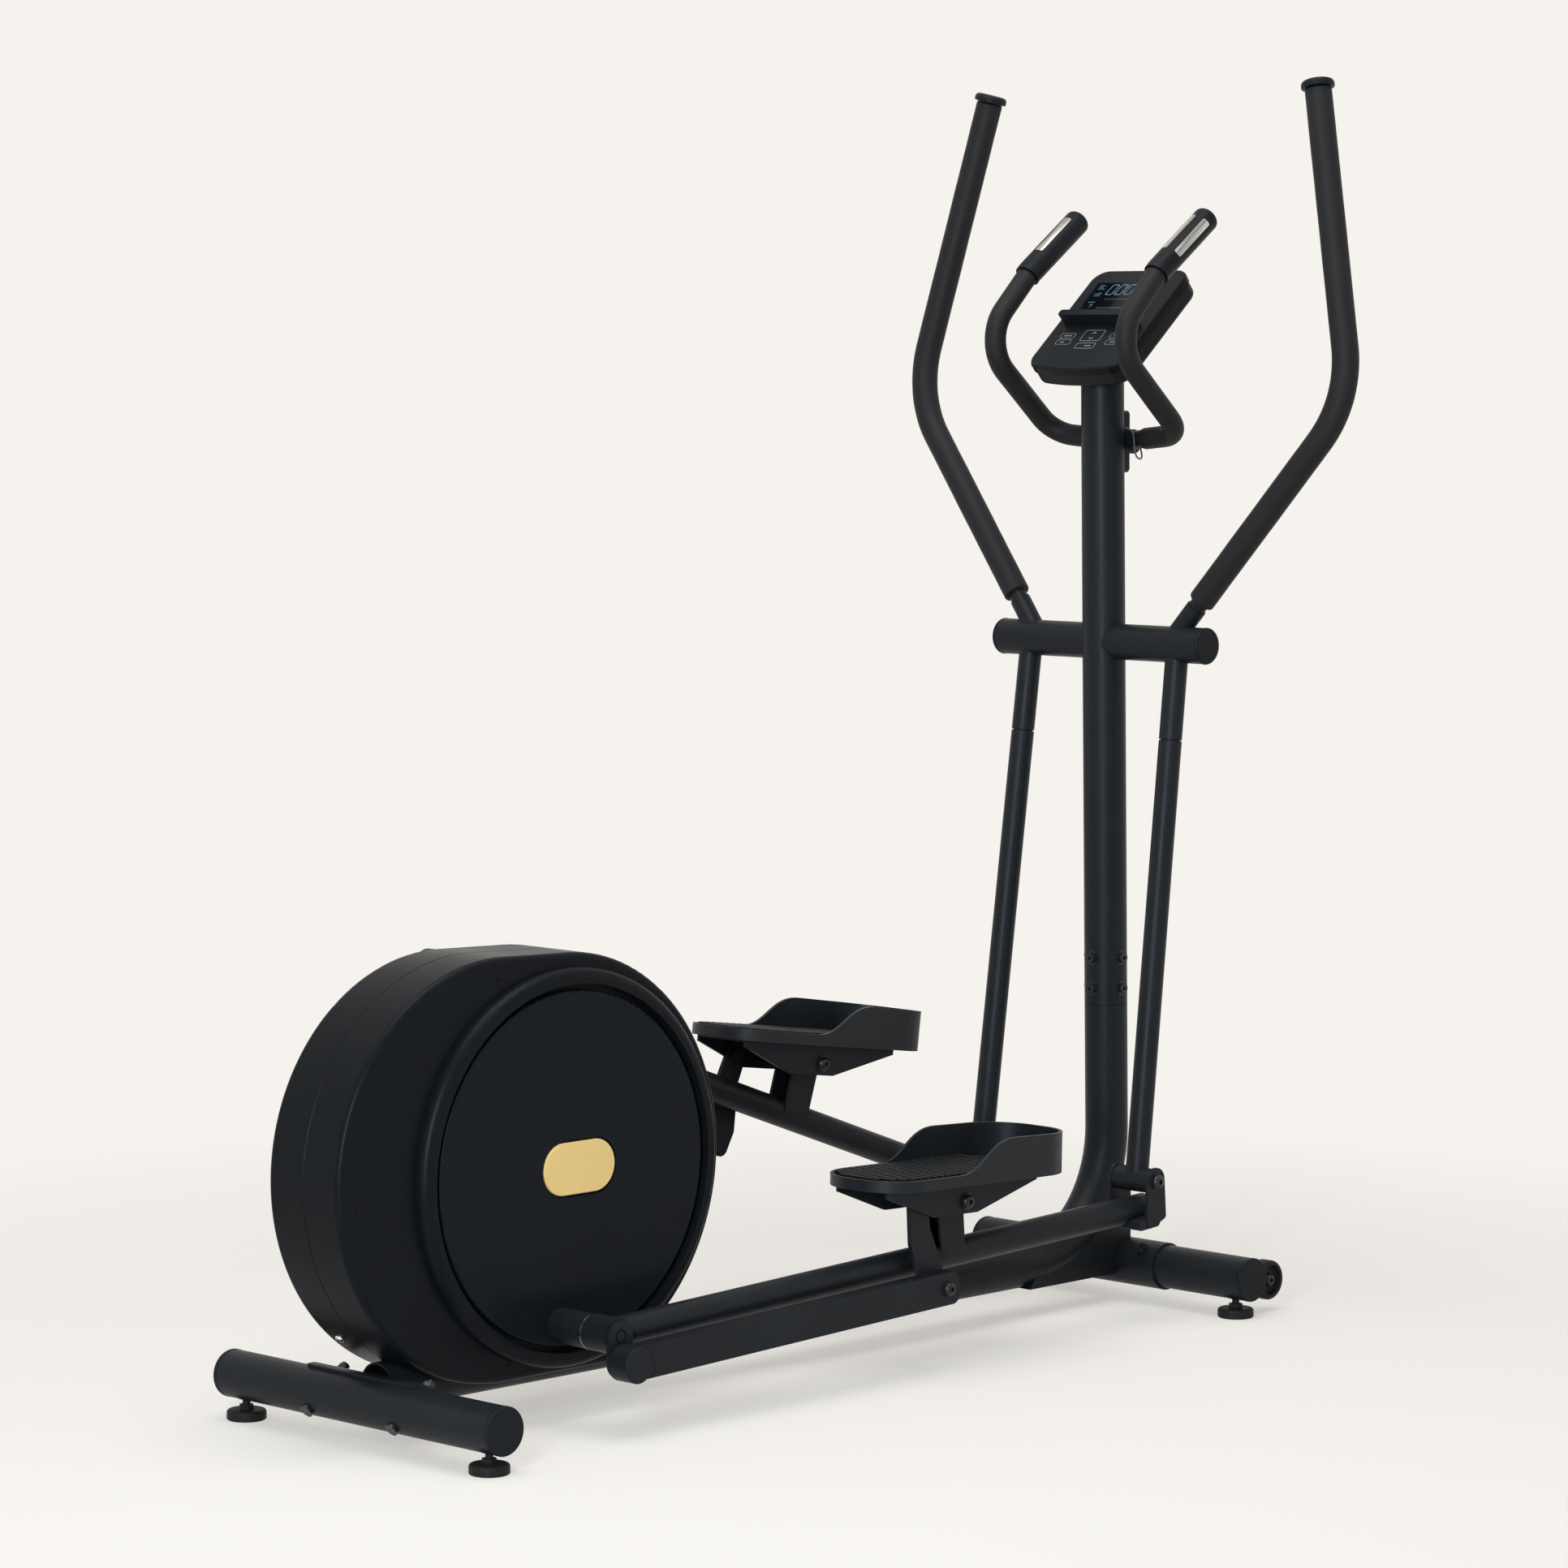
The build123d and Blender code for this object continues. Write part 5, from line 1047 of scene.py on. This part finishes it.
for k in range(4):
    left = FIGURE_FIRST + FIGURE_PITCH * k
    near = left + SEGMENT / 2
    far = left + FIGURE_WIDE - SEGMENT / 2
    low = FIGURE_MID - FIGURE_HIGH / 2
    high = FIGURE_MID + FIGURE_HIGH / 2
    segment((near, low), (far, low))
    segment((near, high), (far, high))
    for x in (near, far):
        segment((x, low), (x, FIGURE_MID))
        segment((x, FIGURE_MID), (x, high))
DOTS = 16
DOT_FIRST = -31.0
DOT_LONG = 2.2
DOT_PITCH = 4.4
DOT_Y = 38.3
DOT_STROKE = 0.8
for k in range(DOTS):
    start = DOT_FIRST + DOT_PITCH * k
    display.stroke((start, DOT_Y), (start + DOT_LONG, DOT_Y), DOT_STROKE)
BAR_STROKE = 1.1
LIT_BARS = (
    (-58, -49, 67.5),
    (-58, -51, 63.8),
    (-58, -47, 60.2),
    (-57, -52, 49.5),
    (-57, -47, 45.5),
    (-58, -46, 32.0),
)
for start, end, y in LIT_BARS:
    display.stroke((start, y), (end, y), BAR_STROKE)
FINE_STROKE = 0.7
HOOK_STROKE = 0.9
HOOK_START = (-52, 27.0)
HOOK_CORNER = (-47, 27.0)
HOOK_END = (-50, 21.0)
display.outline(wide=5.0, high=5.0, radius=2.4, at=(-48.5, 50.0), stroke=FINE_STROKE)
display.stroke(HOOK_START, HOOK_CORNER, HOOK_STROKE)
display.stroke(HOOK_CORNER, HOOK_END, HOOK_STROKE)
display.stroke((-36, 19.8), (44, 19.8), FINE_STROKE)
display.piece("display_marks", display_glow, "display_lens")

# Gloss band on the edge of the console's upper shell, with the shell's own outline
CONSOLE_HALF = 85.5
CONSOLE_END = 101.0
CONSOLE_BOW = 8.0
CORNER = 24.0
CORNER_STEPS = 12
BOW_STEPS = 16
BAND_PROUD = 0.35
BAND_SUNK = -0.4


def console_loop(proud):
    # The two upper corners from right to left, the lower left one, the bowed edge and the lower right one
    half = CONSOLE_HALF + proud
    end = CONSOLE_END + proud
    corner = CORNER + proud
    bow_radius = (half * half + CONSOLE_BOW * CONSOLE_BOW) / (2 * CONSOLE_BOW)
    bow_mid = -end - CONSOLE_BOW + bow_radius
    inner = bow_radius - corner
    low_x = half - corner
    low_y = bow_mid - sqrt(inner * inner - low_x * low_x)
    sweep = Vector((low_x, low_y - bow_mid)).angle(Vector((1, 0)))
    loop = []
    for k in range(CORNER_STEPS + 1):
        turn = radians(90) * k / CORNER_STEPS
        loop.append((half - corner + corner * cos(turn), end - corner + corner * sin(turn)))
    loop += [(-x, y) for x, y in reversed(loop)]
    low_corner = []
    for k in range(CORNER_STEPS + 1):
        turn = sweep * k / CORNER_STEPS
        low_corner.append((-low_x - corner * cos(turn), low_y - corner * sin(turn)))
    loop += low_corner
    last = low_corner[-1][0]
    for k in range(1, BOW_STEPS):
        x = last - 2 * last * k / BOW_STEPS
        loop.append((x, bow_mid - sqrt(bow_radius * bow_radius - x * x)))
    loop += [(-x, y) for x, y in reversed(low_corner)]
    return loop


band = FaceMarks(low=-12.7, top=-3.6)
band.ring(console_loop(BAND_PROUD), console_loop(BAND_SUNK))
band.piece("console_band", gloss_plastic, "black_plastic")

# Floor that fades into the backdrop and keeps a soft shadow, plain studio light
BACKDROP = (0.922, 0.896, 0.855, 1.0)
FLOOR_TONE = (0.757, 0.735, 0.702, 1)
FLOOR_GLOW = 0.5
FLOOR_HALF = 6
FADE_FROM = 1.0
FADE_TO = 2.2
ROOM_TONE = (1.0, 0.985, 0.96, 1)
ROOM_LIGHT = 0.46


def seen_directly(tree):
    # 1 for what the camera sees, also in metal and through glass
    path = add_node(tree, "ShaderNodeLightPath").outputs
    reflected = maths(tree, "MAXIMUM", path["Is Glossy Ray"], path["Is Transmission Ray"])
    return maths(tree, "MAXIMUM", path["Is Camera Ray"], reflected)


floor_mesh = bpy.data.meshes.new("studio_floor")
floor_corners = [
    (-FLOOR_HALF, -FLOOR_HALF, 0),
    (FLOOR_HALF, -FLOOR_HALF, 0),
    (FLOOR_HALF, FLOOR_HALF, 0),
    (-FLOOR_HALF, FLOOR_HALF, 0),
]
floor_mesh.from_pydata(floor_corners, [], [(0, 1, 2, 3)])
floor = in_scene("studio_floor", floor_mesh)
floor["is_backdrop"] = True
floor_paint = bpy.data.materials.new("studio_floor")
floor_paint.use_nodes = True
tree = floor_paint.node_tree
tree.nodes.clear()
matte = step(tree, "ShaderNodeBsdfDiffuse", {"Color": FLOOR_TONE})
plain = step(tree, "ShaderNodeEmission", {"Color": BACKDROP})
share = maths(tree, "MULTIPLY", seen_directly(tree), FLOOR_GLOW)
lit = step(tree, "ShaderNodeMixShader", {0: share, 1: matte.outputs[0], 2: plain.outputs[0]})
spot = add_node(tree, "ShaderNodeTexCoord").outputs["Object"]
reach = step(tree, "ShaderNodeVectorMath", {0: spot}, operation="LENGTH").outputs["Value"]
fade = ranged(tree, reach, FADE_FROM, FADE_TO)
clear = add_node(tree, "ShaderNodeBsdfTransparent")
faded = step(tree, "ShaderNodeMixShader", {0: fade, 1: lit.outputs[0], 2: clear.outputs[0]})
feed(tree, add_node(tree, "ShaderNodeOutputMaterial").inputs["Surface"], faded.outputs[0])
floor_mesh.materials.append(floor_paint)

world = bpy.data.worlds.new("studio_world")
bpy.context.scene.world = world
world.use_nodes = True
tree = world.node_tree
tree.nodes.clear()
room = step(tree, "ShaderNodeBackground", {"Color": ROOM_TONE, "Strength": ROOM_LIGHT})
shown = step(tree, "ShaderNodeBackground", {"Color": BACKDROP, "Strength": 1.0})
by_ray = {0: seen_directly(tree), 1: room.outputs[0], 2: shown.outputs[0]}
studio = step(tree, "ShaderNodeMixShader", by_ray)
feed(tree, add_node(tree, "ShaderNodeOutputWorld").inputs["Surface"], studio.outputs[0])


def softbox(name, location, target, size, power, tint=(1.0, 1.0, 1.0)):
    data = bpy.data.lights.new(name, "AREA")
    data.shape = "RECTANGLE"
    data.size, data.size_y = size
    data.energy = power
    data.color = tint
    lamp = in_scene(name, data)
    lamp.location = location
    lamp.rotation_euler = (Vector(target) - Vector(location)).to_track_quat("-Z", "Y").to_euler()


softbox("top_softbox", location=(-0.6, -0.5, 4.2), target=(0, 0, 0.4), size=(3.4, 2.8), power=118)
softbox(
    "camera_left_softbox", location=(-4.0, -2.4, 1.6), target=(-0.3, 0, 0.7),
    size=(0.4, 2.6), power=160, tint=(0.84, 0.92, 1.0),
)

low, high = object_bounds()
